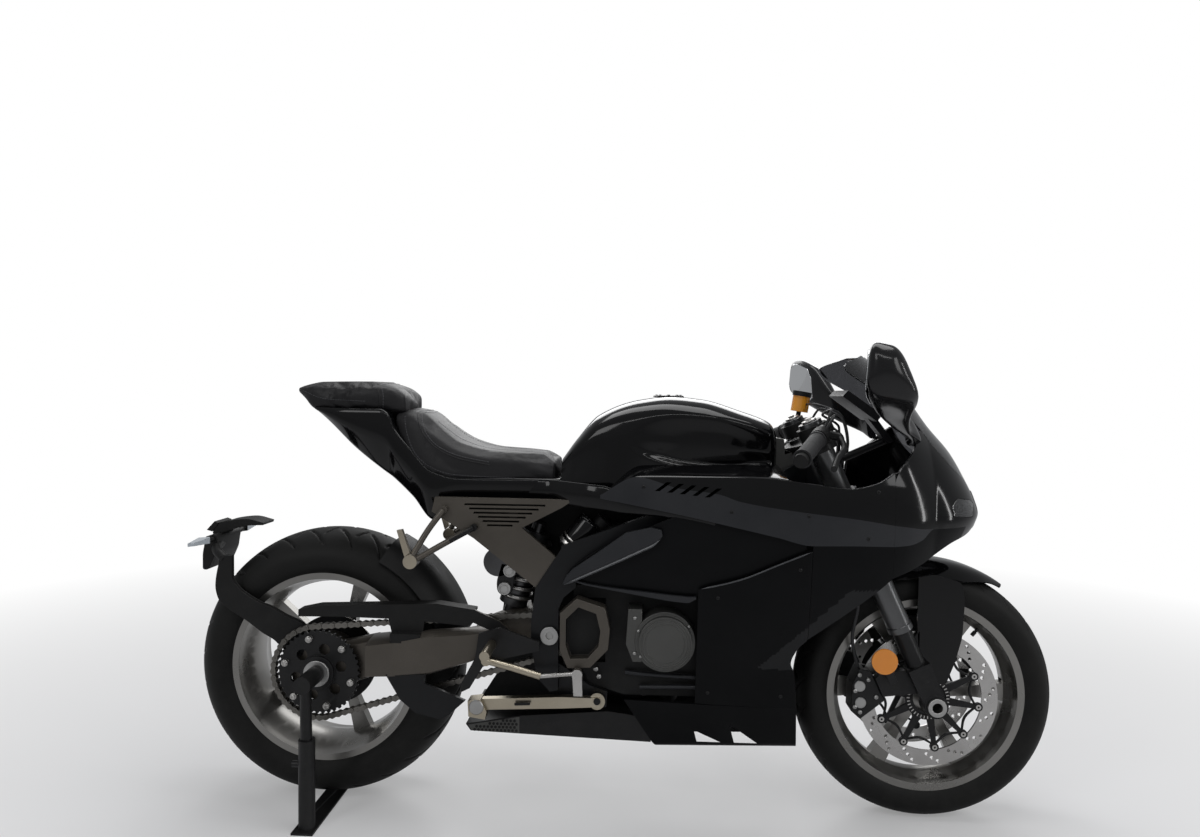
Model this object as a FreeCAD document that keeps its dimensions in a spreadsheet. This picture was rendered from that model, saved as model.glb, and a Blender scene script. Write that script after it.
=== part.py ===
# Sport bike held upright by its single-sided paddock stand.
# Millimetres. +X is forward, +Y is the rider's left, +Z is up.
# The origin is on the floor, midway between the ends of the two tyres.
# The chain, the swingarm, the paddock stand and the side stand are on the right (-Y) side.

import FreeCAD, Part
import math
import os
import Sketcher

os.makedirs("parts", exist_ok=True)
doc = FreeCAD.newDocument("sport_bike")

# Driving dimensions: name, value, what it measures
SIZES = (
    ("wheelbase", 1435.0, "between the axles"),
    ("front_tyre_radius", 300.0, "120/70 on a 17 inch rim"),
    ("front_tyre_width", 120.0, "widest point of the front tyre"),
    ("rear_tyre_radius", 326.0, "200/55 on a 17 inch rim"),
    ("rear_tyre_width", 200.0, "widest point of the rear tyre"),
    ("rear_lift", 11.0, "rear tyre above the floor on the stand"),
    ("bead_radius", 218.0, "where a tyre sits on its rim"),
    ("flange_radius", 232.0, "outside of a rim flange"),
    ("flange_wall", 5.0, "thickness of a rim flange"),
    ("barrel_radius", 196.0, "inside of the rim barrel"),
    ("front_rim_width", 89.0, "between the front flanges"),
    ("rear_rim_width", 159.0, "between the rear flanges"),
    ("bead_gap", 0.3, "tyre to rim"),
    ("front_spokes", 6.0, "spokes in the front wheel"),
    ("rear_spokes", 5.0, "spokes in the rear wheel"),
    ("spoke_depth", 26.0, "spoke across the wheel"),
    ("front_hub_radius", 40.0, "outside of the front hub"),
    ("front_hub_width", 104.0, "front hub between the discs"),
    ("front_axle_radius", 15.0, "front axle"),
    ("front_axle_bore", 11.5, "hole through the front axle"),
    ("front_axle_length", 264.0, "end to end"),
    ("axle_gap", 0.3, "wheel bore round its axle"),
    ("disc_radius", 160.0, "front brake disc"),
    ("disc_inner_radius", 124.0, "inside of its braking ring"),
    ("disc_wall", 5.0, "thickness of a braking ring"),
    ("disc_plane", 64.0, "middle of a front disc from the centre"),
    ("disc_arms", 10.0, "arms of a disc carrier"),
    ("rear_disc_radius", 110.0, "rear brake disc"),
    ("rake", 24.5, "steering axis from the vertical, degrees"),
    ("fork_offset", 30.0, "fork legs ahead of the steering axis"),
    ("fork_spread", 210.0, "between the fork legs"),
    ("fork_outer_radius", 27.0, "fork outer tube"),
    ("fork_inner_radius", 21.5, "fork inner tube"),
    ("fork_slide_gap", 0.8, "inner tube in the outer tube"),
    ("fork_outer_start", 187.0, "outer tube from the axle, along the fork"),
    ("fork_length", 708.0, "fork top from the axle, along the fork"),
    ("lower_clamp_drop", 210.0, "lower clamp below the fork's top"),
    ("upper_clamp_drop", 72.0, "upper clamp below the fork's top"),
    ("lower_clamp_wall", 34.0, "lower clamp thickness"),
    ("upper_clamp_wall", 26.0, "upper clamp thickness"),
    ("stem_radius", 16.0, "steering stem"),
    ("stem_bore", 8.0, "hole up the steering stem"),
    ("head_radius", 31.0, "outside of the headstock"),
    ("head_gap", 6.0, "headstock to the clamps"),
    ("bar_radius", 11.0, "handlebar tube"),
    ("grip_radius", 16.5, "handlebar grip"),
    ("pivot_x", -151.0, "swingarm pivot"),
    ("pivot_z", 449.0, "swingarm pivot"),
    ("pivot_radius", 16.0, "swingarm pivot shaft"),
    ("pivot_gap", 0.3, "arm boss round the pivot shaft"),
    ("frame_half_width", 150.0, "outside of the frame plates"),
    ("frame_wall", 22.0, "thickness of a frame plate"),
    ("subframe_half_width", 146.0, "outside of the louvred plates"),
    ("subframe_wall", 12.0, "thickness of a louvred plate"),
    ("chain_pitch", 15.875, "pin to pin"),
    ("sprocket_teeth", 43.0, "rear sprocket"),
    ("drive_teeth", 16.0, "engine sprocket"),
    ("chain_plane", 118.0, "chain line from the centre"),
    ("chain_width", 20.0, "across the chain"),
    ("chain_height", 15.0, "across a link plate"),
    ("sprocket_wall", 7.0, "thickness of the rear sprocket"),
    ("chain_gap", 1.0, "sprocket tooth tip inside the chain band"),
    ("drive_x", -86.0, "engine sprocket"),
    ("drive_z", 455.0, "engine sprocket"),
    ("hub_carrier_radius", 74.0, "axle carrier in the arm"),
    ("rear_axle_radius", 24.0, "rear axle"),
    ("rear_axle_bore", 12.0, "hole in the rear axle for the stand pin"),
    ("rear_hub_radius", 62.0, "outside of the rear hub"),
    ("rear_face", 20.0, "middle of the rear spokes, to the left"),
    ("stand_post_radius", 18.5, "sleeve of the stand post"),
    ("stand_tube_radius", 13.0, "upper tube of the stand post"),
    ("stand_side", 195.0, "stand post from the centre"),
    ("stand_foot_wall", 5.0, "foot plate of the stand"),
    ("stand_foot_width", 50.0, "foot plate, front to back"),
    ("stand_foot_reach", 235.0, "foot plate to the left of the centre"),
    ("panel_wall", 4.0, "fairing panels"),
    ("screen_wall", 3.0, "windscreen"),
    ("seam", 1.5, "between neighbouring panels"),
)

sheet = doc.addObject("Spreadsheet::Sheet", "sizes")
for line, (alias, value, meaning) in enumerate(SIZES, 1):
    sheet.set("A%d" % line, meaning)
    sheet.set("B%d" % line, str(value))
    sheet.setAlias("B%d" % line, alias)
doc.recompute()


def size(alias):
    return float(sheet.get(alias))


# Places worked out from the sizes
FRONT_AXLE_X = (size("wheelbase") + size("rear_tyre_radius") - size("front_tyre_radius")) / 2
REAR_AXLE_X = FRONT_AXLE_X - size("wheelbase")
FRONT_AXLE_Z = size("front_tyre_radius")
REAR_AXLE_Z = size("rear_tyre_radius") + size("rear_lift")
RAKE = math.radians(size("rake"))
FORK_UP = FreeCAD.Vector(-math.sin(RAKE), 0, math.cos(RAKE))
FORK_AHEAD = FreeCAD.Vector(math.cos(RAKE), 0, math.sin(RAKE))
SIDEWAYS = FreeCAD.Vector(0, 1, 0)
RIGHT, LEFT = -1, 1

NODES = []


def vector(x, y, z):
    return FreeCAD.Vector(x, y, z)


def follow(table, at):
    """Value of a short table at one place, by straight runs between its rows."""
    if at <= table[0][0]:
        return table[0][1]
    for (a, low), (b, high) in zip(table, table[1:]):
        if at <= b:
            return low + (high - low) * (at - a) / (b - a)
    return table[-1][1]


# The bodywork is measured on a bike with its axles at these places, and follows the sizes from there
MEASURED_REAR, MEASURED_FRONT = vector(-704.5, 0, 337), vector(730.5, 0, 300)
REAR_GROWTH = size("rear_tyre_radius") / 326
FRONT_GROWTH = size("front_tyre_radius") / 300
# Measured X, X on this bike: behind, rear axle, ahead of the rear tyre, behind the front tyre,
# front axle, ahead
LANDMARKS = (
    (-1100.0, REAR_AXLE_X - 395.5 * REAR_GROWTH),
    (MEASURED_REAR.x, REAR_AXLE_X),
    (-345.0, REAR_AXLE_X + size("rear_tyre_radius") + 33.5),
    (396.0, FRONT_AXLE_X - size("front_tyre_radius") - 34.5),
    (MEASURED_FRONT.x, FRONT_AXLE_X),
    (1100.0, FRONT_AXLE_X + 369.5 * FRONT_GROWTH),
)
# Measured X, how far the bodywork there is lifted by the size of the wheels
LIFTS = (
    (MEASURED_REAR.x, REAR_AXLE_Z - MEASURED_REAR.z),
    (MEASURED_FRONT.x, FRONT_AXLE_Z - MEASURED_FRONT.z),
)


def at(x, y, z):
    """Point of the bodywork, moved along with the axles and the tyres."""
    return vector(follow(LANDMARKS, x), y, z + follow(LIFTS, x))


# The bridges of the fork, along it from the axle
LOWER_CLAMP = size("fork_length") - size("lower_clamp_drop")
UPPER_CLAMP = size("fork_length") - size("upper_clamp_drop")

# Helpers: sub-parts built as bodies with sketches

def keep(node, label):
    node.Label = label
    NODES.append(node)
    return node


def origin_feature(body, role):
    return next(f for f in body.Origin.OriginFeatures if f.Role == role)


def new_sketch(body, name, role="XZ_Plane", shift=0.0):
    sketch = body.newObject("Sketcher::SketchObject", name)
    sketch.AttachmentSupport = [(origin_feature(body, role), "")]
    sketch.MapMode = "FlatFace"
    sketch.AttachmentOffset = FreeCAD.Placement(vector(0, 0, shift), FreeCAD.Rotation())
    return sketch


def draw_circle(sketch, x, y, expression):
    edge = sketch.addGeometry(Part.Circle(vector(x, y, 0), vector(0, 0, 1), 10.0), False)
    rule = sketch.addConstraint(Sketcher.Constraint("Radius", edge, 10.0))
    sketch.setExpression("Constraints[%d]" % rule, expression)
    sketch.addConstraint(Sketcher.Constraint("DistanceX", -1, 1, edge, 3, x))
    sketch.addConstraint(Sketcher.Constraint("DistanceY", -1, 1, edge, 3, y))
    return edge


def fix_point(sketch, edge, end, u, v):
    """Hold one point of an edge at (u, v) from the sketch's origin."""
    for value, rule, axis in ((u, "DistanceX", -2), (v, "DistanceY", -1)):
        if abs(value) < 1e-9:
            sketch.addConstraint(Sketcher.Constraint("PointOnObject", edge, end, axis))
        else:
            sketch.addConstraint(Sketcher.Constraint(rule, -1, 1, edge, end, value))


def draw_outline(sketch, path):
    """Closed outline. Each entry is a corner (u, v); (u, v, "via") is the middle of an arc."""
    corners = [k for k, p in enumerate(path) if len(p) == 2]
    edges = []
    for here, there in zip(corners, corners[1:] + corners[:1]):
        middle = path[(here + 1) % len(path)]
        a, b = vector(*path[here], 0), vector(*path[there], 0)
        backward = False
        if len(middle) == 3:
            m = vector(middle[0], middle[1], 0)
            backward = (m - a).cross(b - a).z < 0
            ends = (b, m, a) if backward else (a, m, b)
            arc = Part.ArcOfCircle(*ends)
            edge = sketch.addGeometry(arc, False)
            sketch.addConstraint(Sketcher.Constraint("Radius", edge, arc.Radius))
        else:
            edge = sketch.addGeometry(Part.LineSegment(a, b), False)
        edges.append((edge, backward, a))
    for (first, first_back, _), (second, second_back, joint) in zip(edges, edges[1:] + edges[:1]):
        end, start = (1 if first_back else 2), (2 if second_back else 1)
        sketch.addConstraint(Sketcher.Constraint("Coincident", first, end, second, start))
        fix_point(sketch, second, start, joint.x, joint.y)


def pad(body, sketch, name, expression, side=0):
    """side 0 grows both ways from the sketch, RIGHT and LEFT grow to that side."""
    feature = body.newObject("PartDesign::Pad", name)
    feature.Profile = sketch
    feature.setExpression("Length", expression)
    if side == 0:
        feature.SideType = "Symmetric"
    else:
        feature.Reversed = side == LEFT
    return feature


def cut_through(body, sketch, name):
    feature = body.newObject("PartDesign::Pocket", name)
    feature.Profile = sketch
    feature.Type = "ThroughAll"
    feature.SideType = "Symmetric"
    return feature


def turned(body, sketch, name):
    feature = body.newObject("PartDesign::Revolution", name)
    feature.Profile = sketch
    feature.ReferenceAxis = (sketch, ["V_Axis"])
    feature.Angle = 360.0
    return feature


def spin_pattern(body, features, name, expression):
    feature = body.newObject("PartDesign::PolarPattern", name)
    feature.Originals = features
    feature.Axis = (origin_feature(body, "Y_Axis"), [""])
    feature.Angle = 360.0
    feature.setExpression("Occurrences", expression)
    body.Tip = feature
    return feature


def new_body(label, x=0.0, y=0.0, z=0.0):
    body = doc.addObject("PartDesign::Body", label)
    body.Placement = FreeCAD.Placement(vector(x, y, z), FreeCAD.Rotation())
    body.Label = label
    return body


def followed(outline):
    """An outline in X and Z, moved along with the axles and the tyres."""
    moved = []
    for x, z, *middle in outline:
        spot = at(x, 0, z)
        moved.append((spot.x, spot.z, *middle))
    return moved


def plate(label, outline, inner, wall_alias, side, holes=()):
    """Flat plate standing fore and aft: outline in X and Z, inner face at that half-width."""
    body = new_body(label, 0, side * inner, 0)
    sketch = new_sketch(body, label + "_outline")
    draw_outline(sketch, followed(outline))
    pad(body, sketch, label + "_pad", "sizes." + wall_alias, side)
    if holes:
        cuts = new_sketch(body, label + "_holes")
        for hole in holes:
            draw_outline(cuts, followed(hole))
        cut_through(body, cuts, label + "_cut")
    return body


def mirrored(source, label):
    """The same piece on the other side of the bike."""
    twin = doc.addObject("Part::Mirroring", label)
    twin.Source = source
    twin.Normal = SIDEWAYS
    twin.Base = vector(0, 0, 0)
    twin.Label = label
    return twin


def fused(label, pieces):
    node = doc.addObject("Part::MultiFuse", label)
    node.Shapes = pieces
    node.Refine = True
    return keep(node, label)


# Helpers: shapes for the formed pieces

def shaped(label, shape):
    node = doc.addObject("Part::Feature", label)
    node.Shape = shape
    node.Placement = FreeCAD.Placement()
    node.Label = label
    return node


def formed(label, shape):
    return keep(shaped(label, shape), label)


def stepped_rod(start, end, steps):
    """Round bar of several thicknesses; each step is where it ends, as a share, and its radius."""
    length = (end - start).Length
    points, low = [vector(0, 0, 0)], 0.0
    for share, radius in steps:
        points += [vector(low * length, radius, 0), vector(share * length, radius, 0)]
        low = share
    points.append(vector(low * length, 0, 0))
    bar = Part.Face(closed_wire(points)).revolve(vector(0, 0, 0), vector(1, 0, 0), 360)
    bar.Placement = FreeCAD.Placement(start, FreeCAD.Rotation(vector(1, 0, 0), end - start))
    return bar


def rod(start, end, radius):
    return Part.makeCylinder(radius, (end - start).Length, start, end - start)


def tube(start, end, outer, inner):
    overrun = (end - start).normalize() * 1.0
    return rod(start, end, outer).cut(rod(start - overrun, end + overrun, inner))


def closed_wire(points):
    """Closed wire through 3D points; a tuple ("via", point) is the middle of an arc."""
    corners = [k for k, p in enumerate(points) if not isinstance(p, tuple)]
    edges = []
    for here, there in zip(corners, corners[1:] + corners[:1]):
        middle = points[(here + 1) % len(points)]
        if isinstance(middle, tuple):
            edges.append(Part.Arc(points[here], middle[1], points[there]).toShape())
        else:
            edges.append(Part.LineSegment(points[here], points[there]).toShape())
    return Part.Wire(edges)


def loft(sections, ruled=True):
    return Part.makeLoft([closed_wire(section) for section in sections], True, ruled)


def slab(outline, y_from, y_to, place=at):
    """Prism of an outline in X and Z between two places across the bike."""
    face = Part.Face(closed_wire([place(x, y_from, z) for x, z in outline]))
    return face.extrude(vector(0, y_to - y_from, 0))


def bent_tube(points, radius):
    """Round bar along straight runs joined by tangent arcs."""
    edges = []
    start = points[0]
    for before, corner, after in zip(points, points[1:], points[2:]):
        run_in = (corner - before).normalize()
        run_out = (after - corner).normalize()
        turn = run_in.getAngle(run_out)
        reach = 0.45 * min((corner - before).Length, (after - corner).Length)
        bend = reach / math.tan(turn / 2)
        enter, leave = corner - run_in * reach, corner + run_out * reach
        inward = (run_out - run_in).normalize()
        middle = corner + inward * (bend / math.cos(turn / 2) - bend)
        edges.append(Part.LineSegment(start, enter).toShape())
        edges.append(Part.Arc(enter, middle, leave).toShape())
        start = leave
    edges.append(Part.LineSegment(start, points[-1]).toShape())
    path = Part.Wire(edges)
    along = (points[1] - points[0]).normalize()
    ring = Part.Wire([Part.Circle(points[0], along, radius).toShape()])
    return path.makePipeShell([ring], True, False, 2)


def both_sides(shape):
    return Part.makeCompound([shape, shape.mirror(vector(0, 0, 0), SIDEWAYS)])


def joined(shapes):
    return shapes[0].multiFuse(list(shapes[1:])).removeSplitter()


def along_fork(distance, y=0.0, ahead=0.0):
    """Point beside a fork leg: distance up the fork from the axle, ahead of the leg's line."""
    axle = vector(FRONT_AXLE_X, y, FRONT_AXLE_Z)
    return axle + FORK_UP * distance + FORK_AHEAD * ahead


# Wheels

def tyre(label, x, z, radius, width, rim_width, shrink):
    """Hollow tyre, turned about its axle; u is the radius and v is across the wheel."""
    half, seat = width / 2, rim_width / 2 - size("bead_gap")
    bead = size("bead_radius") * shrink + size("bead_gap")
    shoulder = max(radius - 0.3 * width, bead + 34)
    carcass = 9.0
    body = new_body(label, x, 0, z)
    sketch = new_sketch(body, label + "_profile", "XY_Plane")
    draw_outline(sketch, [
        (bead, -seat), (bead + 16, -seat), (bead + 30, -half + 3), (shoulder, -half),
        (radius, 0, "via"),
        (shoulder, half), (bead + 30, half - 3), (bead + 16, seat), (bead, seat),
        (bead, seat - 10), (bead + 22, seat - 8), (shoulder, half - carcass),
        (radius - carcass - 4, 0, "via"),
        (shoulder, carcass - half), (bead + 22, 8 - seat), (bead, 10 - seat)])
    turned(body, sketch, label + "_turned")
    return keep(body, label)


def rim(label, x, z, rim_width, spokes_alias, hub_radius, hub_from, hub_to, bore, face, shrink):
    """Cast wheel: hub, tapered spokes and a dropped-centre barrel, about its axle."""
    half = rim_width / 2
    flange, bead = size("flange_radius") * shrink, size("bead_radius") * shrink
    barrel, wall = size("barrel_radius") * shrink, size("flange_wall")
    body = new_body(label, x, 0, z)
    hub = new_sketch(body, label + "_hub", "XY_Plane")
    draw_outline(hub, [
        (bore, hub_from), (hub_radius, hub_from), (hub_radius, hub_to), (bore, hub_to)])
    turned(body, hub, label + "_hub_turned")
    spoke = new_sketch(body, label + "_spoke", "XZ_Plane", -face)
    root, waist, tip = 0.42 * hub_radius, 12.0, 22.0
    draw_outline(spoke, [
        (hub_radius - 6, -root), (0.55 * barrel, -waist), (barrel + 3, -tip),
        (barrel + 3, tip), (0.55 * barrel, waist), (hub_radius - 6, root)])
    arm = pad(body, spoke, label + "_spoke_pad", "sizes.spoke_depth")
    spin_pattern(body, [arm], label + "_spokes", "sizes." + spokes_alias)
    outer = new_sketch(body, label + "_barrel", "XY_Plane")
    well, slope = 0.3 * half, 14.0
    draw_outline(outer, [
        (flange, -half - wall), (flange, -half), (bead, -half), (bead, 14 - half),
        (barrel + 7, -well), (barrel + 7, well), (bead, half - 14), (bead, half),
        (flange, half), (flange, half + wall), (bead - 5, half + wall),
        (bead - 8, half - slope), (barrel, well), (barrel, -well),
        (bead - 8, slope - half), (bead - 5, -half - wall)])
    turned(body, outer, label + "_barrel_turned")
    return keep(body, label)


def front_disc(side):
    """Braking ring, bobbins and armed carrier of one front disc."""
    plane = side * size("disc_plane")
    name = "disc_right" if side == RIGHT else "disc_left"
    centre = vector(FRONT_AXLE_X, 0, FRONT_AXLE_Z)
    half = size("disc_wall") / 2
    inner, outer = size("disc_inner_radius"), size("disc_radius")

    def ring(r_out, r_in, y_a, y_b):
        return tube(centre + vector(0, y_a, 0), centre + vector(0, y_b, 0), r_out, r_in)

    band = ring(outer, inner, plane - half, plane + half)
    carrier_out = 113.0
    hub_ring = ring(52.0, 34.0, plane - half, plane + half)
    shapes = [hub_ring]
    count = int(size("disc_arms"))
    for k in range(count):
        turn = FreeCAD.Rotation(SIDEWAYS, 360.0 * k / count + 9.0)
        out = turn.multVec(vector(1, 0, 0))
        across = turn.multVec(vector(0, 0, 1))
        corners = [out * 46 - across * 9, out * carrier_out - across * 5,
                   out * carrier_out + across * 5, out * 46 + across * 9]
        place = centre + vector(0, plane - half, 0)
        face = Part.Face(closed_wire([place + c for c in corners]))
        shapes.append(face.extrude(vector(0, 2 * half, 0)))
        bobbin = centre + out * (inner - 6) + vector(0, plane - half - 1, 0)
        shapes.append(rod(bobbin, bobbin + vector(0, 2 * half + 2, 0), 10.0))
    rows = ((inner + 9, 0.0), (inner + 18, 5.0), (inner + 27, 10.0))
    holes = []
    for radius, start in rows:
        for k in range(16):
            angle = math.radians(start + 360.0 * k / 16)
            spot = centre + vector(radius * math.cos(angle), plane - 2 * half,
                                   radius * math.sin(angle))
            holes.append(rod(spot, spot + vector(0, 4 * half, 0), 4.0))
    band = band.cut(Part.makeCompound(holes))
    return name, joined([band] + shapes)


tyre("front_tyre", FRONT_AXLE_X, FRONT_AXLE_Z, size("front_tyre_radius"),
     size("front_tyre_width"), size("front_rim_width"), min(1.0, FRONT_GROWTH))
rim("front_rim", FRONT_AXLE_X, FRONT_AXLE_Z, size("front_rim_width"), "front_spokes",
    size("front_hub_radius"), -size("front_hub_width") / 2, size("front_hub_width") / 2,
    size("front_axle_radius") + size("axle_gap"), 0.0, min(1.0, FRONT_GROWTH))
disc_shapes = []
for side in (RIGHT, LEFT):
    disc_name, disc_shape = front_disc(side)
    edge = side * (size("disc_plane") - size("disc_wall") / 2)
    hub_end = side * size("front_hub_width") / 2
    centre = vector(FRONT_AXLE_X, 0, FRONT_AXLE_Z)
    spacer = tube(centre + vector(0, hub_end, 0), centre + vector(0, edge, 0), 46.0, 34.0)
    disc_shapes.append(joined([disc_shape, spacer]))
formed("front_discs", Part.makeCompound(disc_shapes))

tyre("rear_tyre", REAR_AXLE_X, REAR_AXLE_Z, size("rear_tyre_radius"),
     size("rear_tyre_width"), size("rear_rim_width"), min(1.0, REAR_GROWTH))
rim("rear_rim", REAR_AXLE_X, REAR_AXLE_Z, size("rear_rim_width"), "rear_spokes",
    size("rear_hub_radius"), size("rear_face") - 30, size("rear_face") + 34,
    size("rear_axle_radius") + size("axle_gap"), size("rear_face"), min(1.0, REAR_GROWTH))

REAR_AXLE = vector(REAR_AXLE_X, 0, REAR_AXLE_Z)
CHAIN_Y = -size("chain_plane")
DRIVE = at(size("drive_x"), 0, size("drive_z"))


def pitch_radius(teeth):
    return size("chain_pitch") / (2 * math.sin(math.pi / teeth))


REAR_PITCH = pitch_radius(size("sprocket_teeth"))
DRIVE_PITCH = pitch_radius(size("drive_teeth"))
BAND_HALF = size("chain_height") / 2
TOOTH_TIP = REAR_PITCH - BAND_HALF - size("chain_gap")


def rear_sprocket():
    """Toothed ring and five-armed carrier outside the arm, with the hub nut."""
    half = size("sprocket_wall") / 2
    count = int(size("sprocket_teeth"))
    root = TOOTH_TIP - 5.0
    corners = []
    for k in range(count):
        for share, radius in ((-0.32, root), (-0.14, TOOTH_TIP), (0.14, TOOTH_TIP), (0.32, root)):
            angle = 2 * math.pi * (k + share) / count
            corners.append(vector(REAR_AXLE_X + radius * math.cos(angle), CHAIN_Y - half,
                                  REAR_AXLE_Z + radius * math.sin(angle)))
    face = Part.Face(closed_wire(corners))
    wheel = face.extrude(vector(0, 2 * half, 0))
    holes = []
    for k in range(6):
        angle = math.radians(60.0 * k + 15.0)
        spot = REAR_AXLE + vector(56 * math.cos(angle), CHAIN_Y - 2 * half, 56 * math.sin(angle))
        holes.append(rod(spot, spot + vector(0, 4 * half, 0), 13.0))
    wheel = wheel.cut(Part.makeCompound(holes))
    bolts = []
    for k in range(6):
        angle = math.radians(60.0 * k + 45.0)
        spot = REAR_AXLE + vector(82 * math.cos(angle), CHAIN_Y - half - 8, 82 * math.sin(angle))
        bolts.append(rod(spot, spot + vector(0, 10, 0), 8.0))
    boss = tube(REAR_AXLE + vector(0, CHAIN_Y - half - 9.5, 0),
                REAR_AXLE + vector(0, CHAIN_Y + half + 5, 0), 40.0,
                size("rear_axle_radius") + size("axle_gap"))
    middle = rod(REAR_AXLE + vector(0, CHAIN_Y - half - 20, 0),
                 REAR_AXLE + vector(0, CHAIN_Y + half + 20, 0),
                 size("rear_axle_radius") + size("axle_gap"))
    return joined([wheel, boss] + bolts).cut(middle)


formed("rear_sprocket", rear_sprocket())

# The axle turns with the wheel: it carries the wheel on the left and the sprocket on the right
AXLE_RIGHT = CHAIN_Y - 18.0
AXLE_LEFT = size("rear_face") + 62.0
axle_body = rod(REAR_AXLE + vector(0, AXLE_RIGHT, 0), REAR_AXLE + vector(0, AXLE_LEFT, 0),
                size("rear_axle_radius"))
nut_left = rod(REAR_AXLE + vector(0, AXLE_LEFT - 26, 0), REAR_AXLE + vector(0, AXLE_LEFT, 0), 32.0)
nut_right = rod(REAR_AXLE + vector(0, AXLE_RIGHT, 0), REAR_AXLE + vector(0, AXLE_RIGHT + 4.7, 0),
                31.0)
axle_hole = rod(REAR_AXLE + vector(0, AXLE_RIGHT - 1, 0), REAR_AXLE + vector(0, AXLE_LEFT + 1, 0),
                size("rear_axle_bore"))
formed("rear_axle", joined([axle_body, nut_left, nut_right]).cut(axle_hole))

rear_disc_at = size("rear_face") - 44.0
formed("rear_disc", joined([
    tube(REAR_AXLE + vector(0, rear_disc_at - 2.5, 0), REAR_AXLE + vector(0, rear_disc_at + 2.5, 0),
         size("rear_disc_radius"), 74.0 + 6.0),
    tube(REAR_AXLE + vector(0, rear_disc_at - 2.5, 0), REAR_AXLE + vector(0, rear_disc_at + 2.5, 0),
         84.0, size("rear_axle_radius") + size("axle_gap")),
    tube(REAR_AXLE + vector(0, rear_disc_at, 0), REAR_AXLE + vector(0, size("rear_face") - 30, 0),
         40.0, size("rear_axle_radius") + size("axle_gap"))]))

# Steering

SPREAD = size("fork_spread") / 2


def fork_pair(build):
    return Part.makeCompound([build(RIGHT * SPREAD), build(LEFT * SPREAD)])


def outer_tube(y):
    bottom, top = along_fork(size("fork_outer_start"), y), along_fork(size("fork_length"), y)
    shell = tube(bottom, top, size("fork_outer_radius"),
                 size("fork_inner_radius") + size("fork_slide_gap"))
    collar = tube(bottom, bottom + FORK_UP * 14, size("fork_outer_radius") + 2,
                  size("fork_inner_radius") + size("fork_slide_gap"))
    cap = rod(top - FORK_UP * 16, top, size("fork_outer_radius"))
    return joined([shell, collar, cap])


def inner_leg(y):
    """Inner tube with the foot that clamps the axle and holds the brake caliper."""
    side = -1 if y < 0 else 1
    inner = rod(along_fork(60, y), along_fork(size("fork_length") - 40, y),
                size("fork_inner_radius"))
    centre = vector(FRONT_AXLE_X, y, FRONT_AXLE_Z)
    eye = rod(centre - vector(0, 20, 0), centre + vector(0, 20, 0), 27.0)
    foot = loft([
        [along_fork(s, y - w, -a), along_fork(s, y + w, -a),
         along_fork(s, y + w, b), along_fork(s, y - w, b)]
        for s, w, a, b in ((-10, 18, 22, 22), (60, 20, 25, 25), (100, 25, 26, 26))])
    bore = rod(centre - vector(0, 40, 0), centre + vector(0, 40, 0),
               size("front_axle_radius") + 0.1)
    lug_inner = side * (SPREAD - 22)
    lug = slab(caliper_lug(), lug_inner, side * (SPREAD + 2), vector)
    return joined([inner, eye, foot, lug]).cut(bore)


def fork_frame(ahead, up):
    """X and Z of a point placed along and ahead of the fork line through the axle."""
    spot = vector(FRONT_AXLE_X, 0, FRONT_AXLE_Z) + FORK_AHEAD * ahead + FORK_UP * up
    return spot.x, spot.z


def caliper_lug():
    return [fork_frame(a, u) for a, u in ((0, 30), (-98, 60), (-98, 104), (-84, 112), (0, 90))]


formed("fork_outer_tubes", fork_pair(outer_tube))
formed("fork_legs", fork_pair(inner_leg))


def clamp(at, wall, reach):
    """One bridge of the fork: two eyes round the legs and a waist to the stem."""
    lower, upper = along_fork(at), along_fork(at + wall)
    back = -size("fork_offset")
    rings = [rod(along_fork(at, y), along_fork(at + wall, y), size("fork_outer_radius") + 11)
             for y in (-SPREAD, SPREAD)]
    outline = [(-reach, -SPREAD), (14, -SPREAD), (26, 0, "via"), (14, SPREAD),
               (-reach, SPREAD), (back - 30, 26), (back - 34, 0, "via"), (back - 30, -26)]
    points = []
    for entry in outline:
        spot = along_fork(at, entry[1], entry[0])
        points.append(("via", spot) if len(entry) == 3 else spot)
    bridge = Part.Face(closed_wire(points)).extrude(upper - lower)
    holes = [rod(along_fork(at - 1, y), along_fork(at + wall + 1, y), size("fork_outer_radius"))
             for y in (-SPREAD, SPREAD)]
    return joined(rings + [bridge]).cut(Part.makeCompound(holes))


STEM_BOTTOM = along_fork(LOWER_CLAMP - 4, 0, -size("fork_offset"))
STEM_TOP = along_fork(UPPER_CLAMP + size("upper_clamp_wall") + 10, 0,
                      -size("fork_offset"))
stem = rod(STEM_BOTTOM, STEM_TOP, size("stem_radius"))
stem_hole = rod(STEM_BOTTOM - FORK_UP * 5, STEM_TOP + FORK_UP * 5, size("stem_bore"))
formed("fork_clamps", joined([
    clamp(LOWER_CLAMP, size("lower_clamp_wall"), 24),
    clamp(UPPER_CLAMP, size("upper_clamp_wall"), 20), stem]).cut(stem_hole))

AXLE_HALF = size("front_axle_length") / 2
FRONT_AXLE = vector(FRONT_AXLE_X, 0, FRONT_AXLE_Z)
axle_tube = tube(FRONT_AXLE - vector(0, AXLE_HALF, 0), FRONT_AXLE + vector(0, AXLE_HALF, 0),
                 size("front_axle_radius"), size("front_axle_bore"))
AXLE_SEAT = SPREAD + 20.3
axle_ends = [tube(FRONT_AXLE + vector(0, side * AXLE_SEAT, 0),
                  FRONT_AXLE + vector(0, side * AXLE_HALF, 0), 21.0, size("front_axle_bore"))
             for side in (RIGHT, LEFT)]
formed("front_axle", joined([axle_tube] + axle_ends))

# Handlebars: a clamp on each outer tube and a bar that sweeps back and down
BAR_AT = size("fork_length") - 26
BAR_START = along_fork(BAR_AT, 0, 36)
BAR_END = along_fork(size("fork_length") - 39, 342, -89)


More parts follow.
